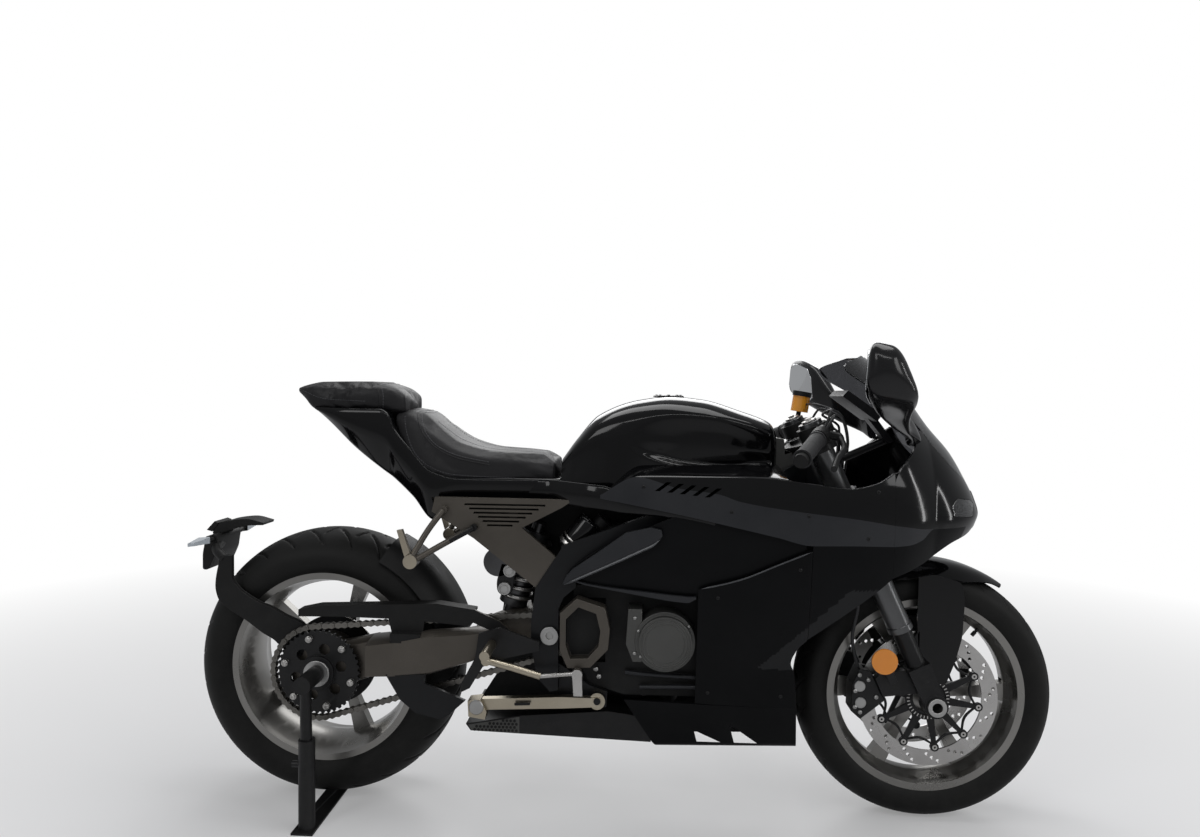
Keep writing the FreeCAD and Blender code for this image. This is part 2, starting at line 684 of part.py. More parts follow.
def bar_point(share, side):
    start = vector(BAR_START.x, SPREAD, BAR_START.z)
    spot = start + (BAR_END - start) * share
    return vector(spot.x, side * spot.y, spot.z)


def handlebar(side):
    y = side * SPREAD
    eye = rod(along_fork(BAR_AT - 16, y), along_fork(BAR_AT + 16, y), size("fork_outer_radius") + 8)
    hole = rod(along_fork(BAR_AT - 22, y), along_fork(BAR_AT + 22, y), size("fork_outer_radius"))
    lug = rod(along_fork(BAR_AT, y, 22), along_fork(BAR_AT, y, 44), 14.0)
    # Bare tube, switch box, tube, grip and end weight
    bar = stepped_rod(bar_point(0.0, side), bar_point(1.0, side), (
        (0.27, size("bar_radius")), (0.40, 20.0), (0.42, size("bar_radius")),
        (0.94, size("grip_radius")), (1.0, size("grip_radius") - 2)))
    return joined([eye, lug, bar]).cut(hole)


formed("handlebars", Part.makeCompound([handlebar(RIGHT), handlebar(LEFT)]))


def lever(side):
    """Control lever with its perch, ahead of the grip."""
    perch = rod(bar_point(0.19, side), bar_point(0.26, side), 17.0)
    hole = rod(bar_point(0.10, side), bar_point(0.30, side), size("bar_radius") + 0.1)
    pivot = bar_point(0.225, side) + vector(38, 0, -8)
    arm = rod(bar_point(0.225, side) + vector(12, 0, -2), pivot, 10.0)
    blade = bent_tube([pivot, bar_point(0.45, side) + vector(62, 0, -16),
                       bar_point(0.70, side) + vector(58, 0, -16),
                       bar_point(0.98, side) + vector(66, 0, -16)], 6.5)
    return joined([perch, arm, blade]).cut(hole)


formed("control_levers", Part.makeCompound([lever(RIGHT), lever(LEFT)]))

# The brake's fluid reservoir stands on the left lever's perch
reservoir_foot = bar_point(0.225, LEFT) + vector(2, 0, 12)
perch_room = rod(bar_point(0.15, LEFT), bar_point(0.30, LEFT), 17.3)
formed("brake_reservoir", joined([
    rod(reservoir_foot, reservoir_foot + vector(6, 0, 34), 6.0),
    rod(reservoir_foot + vector(6, 0, 30), reservoir_foot + vector(12, 0, 70), 22.0),
    rod(reservoir_foot + vector(12, 0, 70), reservoir_foot + vector(14, 0, 82), 24.0)]).cut(perch_room))


def caliper(side):
    """Radial caliper astride the disc, behind the leg."""
    outline = [fork_frame(a, u) for a, u in
               ((-98.3, 44), (-166, 26), (-178, 52), (-150, 108), (-120, 134), (-98.3, 120))]
    block = slab(outline, side * (size("disc_plane") - 22), side * (size("disc_plane") + 30), vector)
    centre = vector(FRONT_AXLE_X, 0, FRONT_AXLE_Z)
    slot = rod(centre + vector(0, side * (size("disc_plane") - 8), 0),
               centre + vector(0, side * (size("disc_plane") + 8), 0), size("disc_radius") + 6)
    return block.cut(slot)


formed("front_calipers", Part.makeCompound([caliper(RIGHT), caliper(LEFT)]))


def mudguard():
    """Crowned band over the front tyre with a skirt down each side to the fork feet."""
    inner = size("front_tyre_radius") + 12
    sections = []
    # Angle round the wheel, half-width, half-width of the crown, how far the edge drops
    stations = ((122, 62, 44, 18), (100, 77, 48, 26), (72, 77, 50, 26), (58, 60, 40, 14),
                (48, 36, 24, 4), (38, 8, 5, 1))
    for angle, half, shoulder, drop in stations:
        a = math.radians(angle)

        def spot(y, r):
            return vector(FRONT_AXLE_X + r * math.cos(a), y, FRONT_AXLE_Z + r * math.sin(a))
        crown = 8.0
        sections.append([
            spot(-half, inner - drop), spot(-shoulder, inner + crown - 3),
            spot(shoulder, inner + crown - 3), spot(half, inner - drop),
            spot(half - 3, inner - drop), spot(shoulder - 2, inner + crown - 6),
            spot(2 - shoulder, inner + crown - 6), spot(3 - half, inner - drop)])
    band = loft(sections)
    # Skirt corners, ahead of and above the axle
    skirt_line = [(-30, 285), (5, 294), (70, 275), (76, 229), (72, 147), (57, 89), (36, 34), (8, 40),
                  (-26, 98), (-31, 179)]
    # Tab from the skirt back to the leg
    tab_line = [(-25, 160), (-25, 96), (-58, 92), (-64, 112)]
    skirts = [slab([(FRONT_AXLE_X + FRONT_GROWTH * x, FRONT_AXLE_Z + FRONT_GROWTH * z)
                    for x, z in line], side * 73.5, side * 77, vector)
              for side in (RIGHT, LEFT) for line in (skirt_line, tab_line)]
    boss_up, boss_ahead = 112 * FRONT_GROWTH, -8 * FRONT_GROWTH
    bosses = [rod(along_fork(boss_up, side * 75, boss_ahead),
                  along_fork(boss_up, side * (SPREAD - 21.8), boss_ahead), 7.0)
              for side in (RIGHT, LEFT)]
    return joined([band] + skirts + bosses)


formed("front_mudguard", mudguard())

REFLECTOR_Y = -SPREAD - 28
reflector_at = along_fork(146, REFLECTOR_Y, -67)
formed("side_reflectors", both_sides(joined([
    rod(reflector_at, reflector_at - vector(0, 6, 0), 29.0),
    slab([fork_frame(a, u) for a, u in ((-76, 90), (-58, 90), (-58, 150), (-76, 150))],
         REFLECTOR_Y, REFLECTOR_Y + 3, vector),
    rod(along_fork(98, REFLECTOR_Y + 1, -67), along_fork(98, -SPREAD - 2.3, -67), 6.0)])))

# Brake hoses: from each caliper up behind the leg to the lower clamp
# Up the fork, out from the centre, ahead of the leg's line
hose_turns = ((134.3, 74, -120), (200, 80, -110), (300, 105, -48),
              (LOWER_CLAMP - 60, 105, -48), (LOWER_CLAMP - 2.7, 70, -24))
formed("brake_hoses", Part.makeCompound([
    bent_tube([along_fork(up, side * y, ahead) for up, y, ahead in hose_turns], 4.0)
    for side in (RIGHT, LEFT)]))

# Frame

FRAME_OUT = size("frame_half_width")
PIVOT = at(size("pivot_x"), 0, size("pivot_z"))
SIDE_STAND = at(-40, -152, 300)
FOLD_AXIS = vector(0, -0.953, 0.304).normalize()
FRAME_IN = FRAME_OUT - size("frame_wall")


def main_frame():
    """Headstock, two side beams, two pivot plates and the tubes that cross between them."""
    low = along_fork(LOWER_CLAMP + size("lower_clamp_wall") + size("head_gap"), 0,
                     -size("fork_offset"))
    high = along_fork(UPPER_CLAMP - size("head_gap"), 0, -size("fork_offset"))
    head = rod(low, high, size("head_radius"))
    shapes = [head]
    for side in (RIGHT, LEFT):
        beams = []
        # Beam sections: X, half-width inside, half-width outside, Z low, Z high
        for x, y_in, y_out, z_low, z_high in ((330, 60, 96, 716, 796),
                                             (180, 108, 140, 690, 760),
                                             (60, FRAME_IN, FRAME_OUT, 650, 724),
                                             (-126, FRAME_IN, FRAME_OUT, 560, 655)):
            beams.append([at(x, side * y_in, z_low), at(x, side * y_out, z_low),
                          at(x, side * y_out, z_high), at(x, side * y_in, z_high)])
        beams.insert(0, [vector(high.x + 4, side * 4, low.z + 6),
                         vector(high.x + 4, side * 30, low.z + 6),
                         vector(high.x + 4, side * 30, high.z - 4),
                         vector(high.x + 4, side * 4, high.z - 4)])
        shapes.append(loft(beams))
        outline = [(-92, 650), (-126, 649), (-139, 628), (-185, 557), (-194, 480), (-194, 420),
                   (-178, 348), (-150, 318), (-131, 322), (-131, 510), (-120, 536), (-92, 560)]
        shapes.append(slab(outline, side * FRAME_IN, side * FRAME_OUT))
    for x, z, radius in ((-148, 340, 14), (-110, 600, 16)):
        shapes.append(rod(at(x, -FRAME_IN, z), at(x, FRAME_IN, z), radius))
    shapes.append(slab([(-178, 348), (-150, 318), (-60, 280), (-20, 280), (-18, 316), (-60, 330),
                        (-131, 380)], -121, -134))
    shapes.append(rod(SIDE_STAND - FOLD_AXIS * 20, SIDE_STAND + FOLD_AXIS * 16, 7.6))
    shapes.append(rod(SIDE_STAND - FOLD_AXIS * 24, SIDE_STAND - FOLD_AXIS * 11, 13.0))
    frame = joined(shapes)
    bore = rod(low - FORK_UP * 1, high + FORK_UP * 1, size("stem_radius") + 0.6)
    eye = rod(PIVOT - vector(0, FRAME_OUT + 1, 0), PIVOT + vector(0, FRAME_OUT + 1, 0),
              size("pivot_radius") + 0.1)
    return frame.cut(bore).cut(eye)


formed("main_frame", main_frame())

formed("pivot_shaft", joined([
    rod(PIVOT - vector(0, FRAME_OUT + 2, 0), PIVOT + vector(0, FRAME_OUT + 2, 0),
        size("pivot_radius")),
    tube(PIVOT - vector(0, FRAME_OUT + 9, 0), PIVOT - vector(0, FRAME_OUT + 0.2, 0), 21.0, 8.0),
    tube(PIVOT + vector(0, FRAME_OUT + 0.2, 0), PIVOT + vector(0, FRAME_OUT + 9, 0), 21.0, 8.0)]))

# Louvred subframe plates: slots by a loop, from the outline of the real casting
SUB_IN = size("subframe_half_width") - size("subframe_wall")
LOUVRES = 6
louvre_slots = []
for k in range(LOUVRES):
    z = 744.0 - 9.5 * k
    left = -352.0 + 10.5 * k
    right = -168.0 - 15.0 * k
    louvre_slots.append([(left, z), (right, z), (right + 4, z + 2.2, "via"), (right, z + 4.4),
                         (left + 2, z + 4.4)])
subframe_outline = [(-420, 762), (-100, 760), (-126, 742), (-218, 694), (-139.25, 628.2),
                    (-185.25, 557.2), (-330, 668), (-428, 728)]
right_sub = plate("louvred_plate_right", subframe_outline, SUB_IN, "subframe_wall", RIGHT,
                  louvre_slots)
left_sub = mirrored(right_sub, "louvred_plate_left")
cross_tubes = [shaped("cross_tube_%d" % k, rod(at(x, -SUB_IN, z), at(x, SUB_IN, z), radius))
               for k, (x, z, radius) in enumerate(((-404, 720, 10.0), (-240, 722, 10.0),
                                                   (-134, 746, 8.0)))]
fused("subframe", [right_sub, left_sub] + cross_tubes)

# Engine

ENGINE_HALF = 120.0


def engine_block():
    """Crankcase, sump and two banks of cylinders in a vee, as one heavy block."""
    case = slab([(-100, 560), (-96, 400), (-60, 330), (20, 306), (210, 306), (250, 340),
                 (262, 430), (230, 520), (120, 560)], -ENGINE_HALF, ENGINE_HALF)
    rear_bank = slab([(-60, 540), (70, 540), (40, 690), (-60, 700)], -104, 104)
    front_bank = slab([(150, 520), (250, 400), (322, 440), (334, 560), (250, 620)], -110, 110)
    chain_room = slab([(-140, 380), (-24, 380), (-24, 530), (-140, 530)],
                      -ENGINE_HALF - 1, CHAIN_Y + size("chain_width") / 2 + 6)
    shaft_room = rod(DRIVE + vector(0, -ENGINE_HALF, 0), DRIVE + vector(0, -80, 0), 14.3)
    barrel = rod(at(-84, -92, 644), at(-46, -92, 690), 26.0)
    inlet = rod(at(-46, -92, 690), at(-30, -92, 709), 20.0)
    return joined([case, rear_bank, front_bank, barrel, inlet]).cut(chain_room).cut(shaft_room)


formed("engine_block", engine_block())


def engine_covers():
    """Octagonal ring over the engine sprocket and the round clutch cover; a round cover on the left."""
    ring = [(-126, 505), (-88, 540), (-24, 520), (-12, 470), (-16, 425), (-56, 383), (-108, 380),
            (-126, 420)]
    inner = [(-112, 492), (-84, 520), (-44, 506), (-34, 466), (-38, 432), (-62, 404), (-102, 402),
             (-112, 432)]
    face = -ENGINE_HALF - 0.3
    cover = slab(ring, CHAIN_Y - 16, -170).cut(slab(inner, -142, -180))
    foot = slab([(-23, 510), (-14, 470), (-17, 432), (-23, 436)], face, -150)
    middle = at(112, 0, 448)
    clutch = joined([rod(middle + vector(0, face, 0), middle + vector(0, -176, 0), 68.0),
                     rod(middle + vector(0, -176, 0), middle + vector(0, -190, 0), 60.0),
                     slab([(29, 520), (60, 520), (60, 400), (40, 400), (24, 440)], face, -172)])
    left = joined([rod(middle - vector(0, face, 0), middle + vector(0, 172, 0), 66.0),
                   rod(middle + vector(0, 172, 0), middle + vector(0, 182, 0), 56.0)])
    return Part.makeCompound([joined([cover, foot]), clutch, left])


formed("engine_covers", engine_covers())

# Swingarm

def rounded_section(x, y_a, y_b, z_a, z_b):
    """Box section with arced top and bottom, across the bike."""
    rise = 0.12 * abs(z_b - z_a)
    middle = (y_a + y_b) / 2
    return [at(x, y_a, z_a), ("via", at(x, middle, z_a - rise)), at(x, y_b, z_a),
            at(x, y_b, z_b), ("via", at(x, middle, z_b + rise)), at(x, y_a, z_b)]


def swingarm():
    """Single-sided arm: carrier ring inside the wheel, arm outside the tyre, cross tube at the pivot."""
    inner_face, outer_face = -34.0, CHAIN_Y + size("sprocket_wall") / 2 + 10.5
    carrier = rod(REAR_AXLE + vector(0, outer_face, 0), REAR_AXLE + vector(0, inner_face, 0),
                  size("hub_carrier_radius"))
    # Arm sections: X, Y inside, Y outside, Z low, Z high
    behind = [rounded_section(*row) for row in (
        (-684, -40, outer_face, 292, 384),
        (-577, -44, outer_face, 330, 410))]
    bend = [rounded_section(*row) for row in (
        (-581, -46, -152, 340, 412),
        (-508, -60, -160, 346, 424))]
    beside = [rounded_section(*row) for row in (
        (-514, -107, -160, 348, 424),
        (-430, -107, -164, 358, 440),
        (-345, -96, -160, 382, 446),
        (-290, -60, -150, 398, 450))]
    within = [rounded_section(*row) for row in (
        (-330, -40, -103, 390, 452),
        (-250, 10, -103, 400, 474),
        (-190, 70, -103, 412, 482))]
    cross = rod(PIVOT + vector(0, -103, 0), PIVOT + vector(0, 124, 0), 34.0)
    left_root = loft([rounded_section(*row) for row in (
        (-262, 40, -60, 405, 472), (-160, 122, 30, 418, 480))])
    arm = joined([carrier, loft(behind), loft(bend), loft(beside), loft(within), cross,
                  left_root])
    tyre_room = rod(REAR_AXLE + vector(0, -106, 0), REAR_AXLE + vector(0, 120, 0),
                    size("rear_tyre_radius") + 10).cut(
        rod(REAR_AXLE + vector(0, -106, 0), REAR_AXLE + vector(0, 120, 0),
            size("barrel_radius") - 6))
    axle_room = rod(REAR_AXLE + vector(0, outer_face - 1, 0), REAR_AXLE + vector(0, inner_face + 1, 0),
                    size("rear_axle_radius") + size("axle_gap"))
    pivot_room = rod(PIVOT + vector(0, -130, 0), PIVOT + vector(0, 130, 0),
                     size("pivot_radius") + size("pivot_gap"))
    return arm.cut(tyre_room).cut(axle_room).cut(pivot_room)


ARM = swingarm()
formed("swingarm", ARM)


def chain_loop():
    """Closed chain round both sprockets; its edge swells at each pin and narrows between them."""
    run = DRIVE - REAR_AXLE
    lean = math.atan2(run.z, run.x)
    spread = math.asin((REAR_PITCH - DRIVE_PITCH) / run.Length)
    straight = run.Length * math.cos(spread)
    top, bottom = lean + math.pi / 2 - spread, lean - math.pi / 2 + spread
    rear_arc, drive_arc = REAR_PITCH * (math.pi + 2 * spread), DRIVE_PITCH * (math.pi - 2 * spread)
    total = 2 * straight + rear_arc + drive_arc
    links = 2 * round(total / size("chain_pitch") / 2)
    pitch = total / links

    def round_centre(centre, radius, angle, offset):
        return vector(centre.x + (radius + offset) * math.cos(angle),
                      CHAIN_Y - size("chain_width") / 2,
                      centre.z + (radius + offset) * math.sin(angle))

    def spot(distance, offset):
        """Point along the pitch line, set off outward: top run, rear sprocket, low run, drive."""
        distance %= total
        if distance < straight:
            start = round_centre(DRIVE, DRIVE_PITCH, top, offset)
            end = round_centre(REAR_AXLE, REAR_PITCH, top, offset)
            return start + (end - start) * (distance / straight)
        distance -= straight
        if distance < rear_arc:
            return round_centre(REAR_AXLE, REAR_PITCH, top + distance / REAR_PITCH, offset)
        distance -= rear_arc
        if distance < straight:
            start = round_centre(REAR_AXLE, REAR_PITCH, bottom, offset)
            end = round_centre(DRIVE, DRIVE_PITCH, bottom, offset)
            return start + (end - start) * (distance / straight)
        return round_centre(DRIVE, DRIVE_PITCH, bottom + (distance - straight) / DRIVE_PITCH, offset)

    def edge(side):
        points = []
        for k in range(links):
            # Place within the link, and how wide the plate is there
            for share, half in ((-0.25, BAND_HALF), (0.25, BAND_HALF), (0.5, 0.7 * BAND_HALF)):
                points.append(spot((k + share) * pitch, side * half))
        return Part.Face(closed_wire(points))
    return edge(1).cut(edge(-1)).extrude(vector(0, size("chain_width"), 0))


formed("drive_chain", chain_loop())
formed("engine_sprocket", rod(DRIVE + vector(0, CHAIN_Y - 3, 0), DRIVE + vector(0, CHAIN_Y + 3, 0),
                              DRIVE_PITCH - BAND_HALF - size("chain_gap")).fuse(
    rod(DRIVE + vector(0, CHAIN_Y - 12, 0), DRIVE + vector(0, -80.3, 0), 14.0)))

# Guards round the chain and the wheel
chain_guard = joined([
    slab([(-745, 490), (-700, 500), (-560, 506), (-415, 512), (-327, 500), (-268, 474),
          (-236, 446), (-262, 440), (-330, 470), (-345, 462), (-445, 470), (-530, 474),
          (-640, 476), (-745, 474)], -134, -140),
    slab([(-745, 490), (-700, 500), (-560, 506), (-415, 512), (-327, 500), (-327, 494),
          (-415, 506), (-560, 500), (-700, 494), (-745, 484)], -106, -140),
    slab([(-445, 474), (-530, 474), (-520, 432), (-450, 432)], -134, -140),
    slab([(-520, 445), (-450, 445), (-450, 424), (-520, 424)], -134, -161)])
chain_fin = slab([(-531, 349), (-484, 356), (-437, 330), (-344, 294), (-379, 262),
                          (-402, 248), (-461, 262), (-496, 291)], -150, -158).fuse(
    slab([(-500, 349), (-440, 352), (-440, 320), (-480, 330)], -140, -158))
formed("chain_guards", Part.makeCompound([chain_guard.cut(ARM), chain_fin.cut(ARM)]))


def hugger():
    """Close guard over the rear tyre, in front of it, carried by the arm."""
    inner = size("rear_tyre_radius") + 10
    sections = []
    for angle in (62, 50, 36, 24, 14):
        a = math.radians(angle)

        def spot(y, r):
            return vector(REAR_AXLE_X + r * math.cos(a), y, REAR_AXLE_Z + r * math.sin(a))
        sections.append([
            spot(-103, inner - 44), spot(-98, inner - 18), ("via", spot(0, inner + 12)),
            spot(98, inner - 18), spot(103, inner - 44), spot(99, inner - 44),
            spot(94, inner - 20), ("via", spot(0, inner + 8)), spot(-94, inner - 20),
            spot(-99, inner - 44)])
    boss_x, boss_z = REAR_AXLE_X + 0.951 * (inner - 31), REAR_AXLE_Z + 0.309 * (inner - 31)
    boss = rod(vector(boss_x, -101, boss_z), vector(boss_x, -105.7, boss_z), 7.0)
    return joined([loft(sections), boss])


formed("rear_hugger", hugger())


def plate_hanger():
    """Curved arm from the swingarm round the back of the wheel, with the bracket for the plate."""
    outer = [(-832, 440), (-832, 497), (-871, 528), (-908, 556), (-915, 587),
             (-938, 602), (-952, 574), (-957, 526), (-939, 503), (-871, 452), (-836, 424)]
    inner = [(-725, 400), (-740, 440), (-774, 471), (-832, 492), (-862, 500), (-876, 456),
             (-836, 424), (-790, 380), (-770, 365)]
    carrier_room = rod(REAR_AXLE + vector(0, -200, 0), REAR_AXLE + vector(0, 0, 0),
                       size("hub_carrier_radius") + 0.3)
    arm = joined([slab(outer, -106, -118), slab(inner, -92, -106).cut(carrier_room)])
    neck = loft([
        [at(x, y - 12, z - 14), at(x + 24, y - 12, z + 4), at(x + 24, y + 12, z + 4),
         at(x, y + 12, z - 14)]
        for x, y, z in ((-948, -112, 590), (-985, -60, 610), (-1004, 0, 620))])
    head = slab([(-1022, 560), (-1006, 560), (-985, 640), (-1004, 645)], -60, 60)
    blade = slab([(-1006, 640), (-985, 660), (-880, 672), (-885, 678), (-995, 672), (-1012, 650)],
                 -30, 30)
    return joined([arm, neck, head, blade])


formed("plate_hanger", plate_hanger())
indicators = both_sides(joined([
    rod(at(-995, -61, 636), at(-995, -96, 638), 6.0),
    loft([[at(-1012, -92, 628), at(-984, -92, 632), at(-984, -92, 648),
           at(-1012, -92, 646)],
          [at(-1006, -150, 634), at(-990, -150, 636), at(-990, -150, 644),
           at(-1006, -150, 642)]])]))
tail_lamp = slab([(-1012.24, 650.18), (-995.24, 672.18), (-1006, 676), (-1026, 654)], -32, 32)
formed("rear_lamps", Part.makeCompound([indicators, tail_lamp]))

# Rear suspension
shock_low, shock_high = at(-262, -40, 470), at(-190, -40, 690)
formed("rear_shock", joined([
    rod(shock_low, shock_high, 16.0),
    rod(shock_low + vector(8, 0, 24), shock_high - vector(6, 0, 20), 34.0),
    rod(at(-279, -112, 607), at(-279, -76, 607), 34.0),
    rod(at(-279, -80, 607), at(-225, -45, 607), 12.0)]).cut(ARM))

# Tank, seats and tail

def tank_section(x, top, shoulder, half, waist, low):
    """One place along the tank: arced top, arced shoulders, sides that fall in to the waist."""
    flat, bulge = 0.42 * half, 0.62 * half + 22
    bulge_z = top - 0.16 * (top - shoulder)
    return [at(x, -waist, low), at(x, -half, shoulder), ("via", at(x, -bulge, bulge_z)),
            at(x, -flat, top - 3), ("via", at(x, 0, top)), at(x, flat, top - 3),
            ("via", at(x, bulge, bulge_z)), at(x, half, shoulder), at(x, waist, low)]


TANK = (
    (-133, 850, 830, 92, 104, 790),
    (-100, 896, 860, 112, 122, 782),
    (-49, 953, 888, 128, 134, 776),
    (48, 990, 908, 146, 140, 772),
    (122, 999, 910, 152, 140, 775),
    (195, 993, 905, 150, 138, 785),
    (292, 965, 890, 136, 126, 805),
    (352, 945, 880, 112, 106, 828),
)
# Hollow for the rider's knee: its outline in X and Z, and how deep its floor lies
KNEE = ((20, 902), (16, 932), (72, 942), (150, 944), (232, 922), (330, 894), (330, 868), (286, 838),
        (186, 829), (110, 838), (60, 862))
KNEE_CENTRE = (170, 884)
KNEE_OUTSIDE, KNEE_FLOOR = 176.0, 122.0


def knee_room(side):
    sections = []
    for y, share in ((KNEE_OUTSIDE, 1.16), (KNEE_FLOOR, 0.80)):
        sections.append([at(KNEE_CENTRE[0] + share * (x - KNEE_CENTRE[0]), side * y,
                            KNEE_CENTRE[1] + share * (z - KNEE_CENTRE[1])) for x, z in KNEE])
    return loft(sections)


# Rubber mounts between the tank and the frame's beams
tank_posts = [rod(at(255, y, 780.9), at(255, y, 806), 10.0) for y in (-97, 97)]
tank_shell = loft([tank_section(*row) for row in TANK])
formed("fuel_tank", joined([tank_shell.cut(knee_room(RIGHT)).cut(knee_room(LEFT))] + tank_posts))


def pad_section(x, half, low, high, round_by):
    """Cushion section: flat underside, arced top."""
    return [at(x, -half, low), at(x, -half, high - round_by),
            ("via", at(x, 0, high)),
            at(x, half, high - round_by), at(x, half, low)]


# Seat sections: X, half-width, Z low, Z high, crown
SEAT = (
    (-532, 84, 900, 962, 10),
    (-485, 104, 846, 962, 14),
    (-434, 122, 806, 922, 14),
    (-371, 132, 792.3, 880, 14),
    (-300, 128, 792.3, 862, 12),
    (-221, 112, 792.3, 857, 10),
    (-140, 92, 790.4, 850, 10),
)
formed("rider_seat", loft([pad_section(*row) for row in SEAT]))

PILLION = (
    (-797, 34, 1006, 1012, 3),
    (-772, 58, 996, 1017, 5),
    (-735, 76, 965.3, 1020, 8),
    (-598, 94, 965.3, 1022, 8),
    (-540, 88, 968, 1014, 10),
    (-505, 70, 972, 990, 8),
)
formed("pillion_pad", loft([pad_section(*row) for row in PILLION]))


def tail_section(x, half, low, high, low_half):
    middle = low + 0.55 * (high - low)
    return [at(x, -low_half, low), at(x, -half, middle), at(x, -half, high),
            at(x, half, high), at(x, half, middle), at(x, low_half, low)]


TAIL = (
    (-732, 76, 954, 965, 52),
    (-700, 88, 926, 965, 58),
    (-640, 100, 868, 964, 62),
    (-545, 108, 800, 896, 70),
    (-490, 112, 752, 842, 84),
    (-437, 124, 700, 800, 100),
    (-372, 130, 764, 792, 112),
    (-221, 116, 778, 792, 108),
    (-136, 100, 778, 790, 96),
)
tail_cross_room = rod(at(-404, -FRAME_OUT, 720), at(-404, FRAME_OUT, 720), 10.3)
formed("tail_fairing", loft([tail_section(*row) for row in TAIL]).cut(tail_cross_room))

# Fairing: one surface for the sides, the nose and the screen

# Plan of the widest line: X, half-width
PLAN = ((-108, 184), (-40, 194), (100, 214), (250, 234), (390, 242), (520, 238), (620, 222),
        (700, 196))
# How the sides fall in from it: Z, share of the half-width
FALL = ((190, 0.56), (300, 0.66), (420, 0.78), (540, 0.90), (640, 0.97), (740, 1.0), (800, 0.99),
        (870, 0.92), (940, 0.82), (1010, 0.72), (1099, 0.62))
# Front line of the nose and the screen: Z, X
NOSE = ((700, 834), (712, 840), (734, 846), (770, 836), (818, 813), (873, 782), (936, 730),
        (992, 690), (1052, 636), (1099, 581))
# Rear edge of the nose, along the cockpit: Z, X
COCKPIT = ((706, 598.3), (818, 598.3), (846, 612), (873, 640), (928, 682))
# Edge between the nose and the screen, then the screen's free side edge: Z, X
SCREEN_EDGE = ((786, 822), (808, 800), (856, 745), (905, 703), (928, 688), (1010, 590), (1072, 506),
               (1099, 560))
NOSE_ROUND = 230.0
NOSE_LOW, SCREEN_LOW, NOSE_HIGH = 706.0, 786.0, 928.0
NOSE_MIDDLE = 700.0


def fairing_half(x, z):
    """Half-width of the fairing's outer face: the plan, the fall of the sides and the round nose."""
    half = follow(PLAN, x) * follow(FALL, z)
    depth = (follow(NOSE, z) - x) / NOSE_ROUND
    if depth <= 0:
        return 0.0
    if depth < 1:
        half *= math.sqrt(1 - (1 - depth) ** 2.2)
    return half


def panel(stations, side, rows=3, sunk=0.0):
    """Shell lofted along X. Each station gives X, Z low and Z high of the panel there."""
    wall = size("panel_wall")
    sections = []
    for x, low, high in stations:
        heights = [low + (high - low) * k / rows for k in range(rows + 1)]
        outer = [at(x, side * (fairing_half(x, z) - sunk), z) for z in heights]
        inner = [at(x, side * (fairing_half(x, z) - sunk - wall), z) for z in heights]
        sections.append(outer + inner[::-1])
    return loft(sections)


def peg(x, z, side, sunk=0.0, radius=8.0, seat=None):
    """Stand-off from the frame's outer face to the inside of a panel."""
    start = FRAME_OUT + 0.3 if seat is None else seat
    end = fairing_half(x, z) - sunk - size("panel_wall") / 2
    return rod(at(x, side * start, z), at(x, side * end, z), radius)


# Side panel, from the tank to the nose: X, Z low, Z high
SIDE = (
    (-36, 771, 779),
    (50, 757, 821),
    (160, 738, 824),
    (270, 716, 826),
    (345, 700, 824),
    (423, 683, 815),
    (424, 470, 815),
    (500, 530, 806),
    (560, 578, 818),
    (598, 610, 840),
)
# Slanted vents behind the knee: X of the lower rear corner, by a loop
VENT_Z, VENT_RISE, VENT_RUN, VENT_WALL = 792.0, 20.0, 26.0, 11.0
vents = []
for k in range(5):
    x, z = 84.0 + 27.0 * k, VENT_Z - 2.5 * k
    vents.append([(x, z), (x + VENT_WALL, z), (x + VENT_WALL + VENT_RUN, z + VENT_RISE),
                  (x + VENT_RUN, z + VENT_RISE)])
for side, name in ((RIGHT, "side_fairing_right"), (LEFT, "side_fairing_left")):
    upper = panel(SIDE, side, 4)
    cuts = [slab(vent, side * 150, side * 260) for vent in vents]
    formed(name, joined([upper, peg(192, 748, side, 0, 8.0, 142.0)]).cut(Part.makeCompound(cuts)))

# Middle panel, set in below the side panel's edge
MIDDLE = (
    (-108, 584, 600),
    (-60, 572, 640),
    (60, 562, 704),
    (166, 556, 742),
    (271, 603, 720),
    (357, 642, 702),
    (412, 668, 684),
)
MIDDLE_SUNK = 12.0
formed("middle_panels", Part.makeCompound(
    [joined([panel(MIDDLE, side, 3, MIDDLE_SUNK), peg(-70, 606, side, MIDDLE_SUNK),
             peg(60, 690, side, MIDDLE_SUNK)]) for side in (RIGHT, LEFT)]))


def nose_at(x, y, z):
    """Point of the nose, whose levels all rise with the front wheel's size."""
    return vector(follow(LANDMARKS, x), y, z + follow(LIFTS, NOSE_MIDDLE))


def nose_level(z, edge, sunk=0.0):
    """Points round the nose at one height, from an edge on one side to the other."""
    front = follow(NOSE, z)
    points = []
    for share in (0.0, 0.35, 0.6, 0.8, 0.93):
        x = edge + (front - edge) * share
        points.append(nose_at(x, -(fairing_half(x, z) - sunk), z))
    return points + [nose_at(front - sunk, 0, z)] + [vector(p.x, -p.y, p.z) for p in points[::-1]]


def nose_shell(levels, edges, wall):
    """Shell round the nose, lofted upward, with an edge at each side from a table."""
    sections = []
    for z in levels:
        edge = follow(edges, z)
        limit = nose_at(follow(NOSE, z) - wall, 0, z).x
        inner = [vector(min(p.x, limit), p.y, p.z) for p in nose_level(z, edge, wall)]
        sections.append(nose_level(z, edge) + inner[::-1])
    return loft(sections)


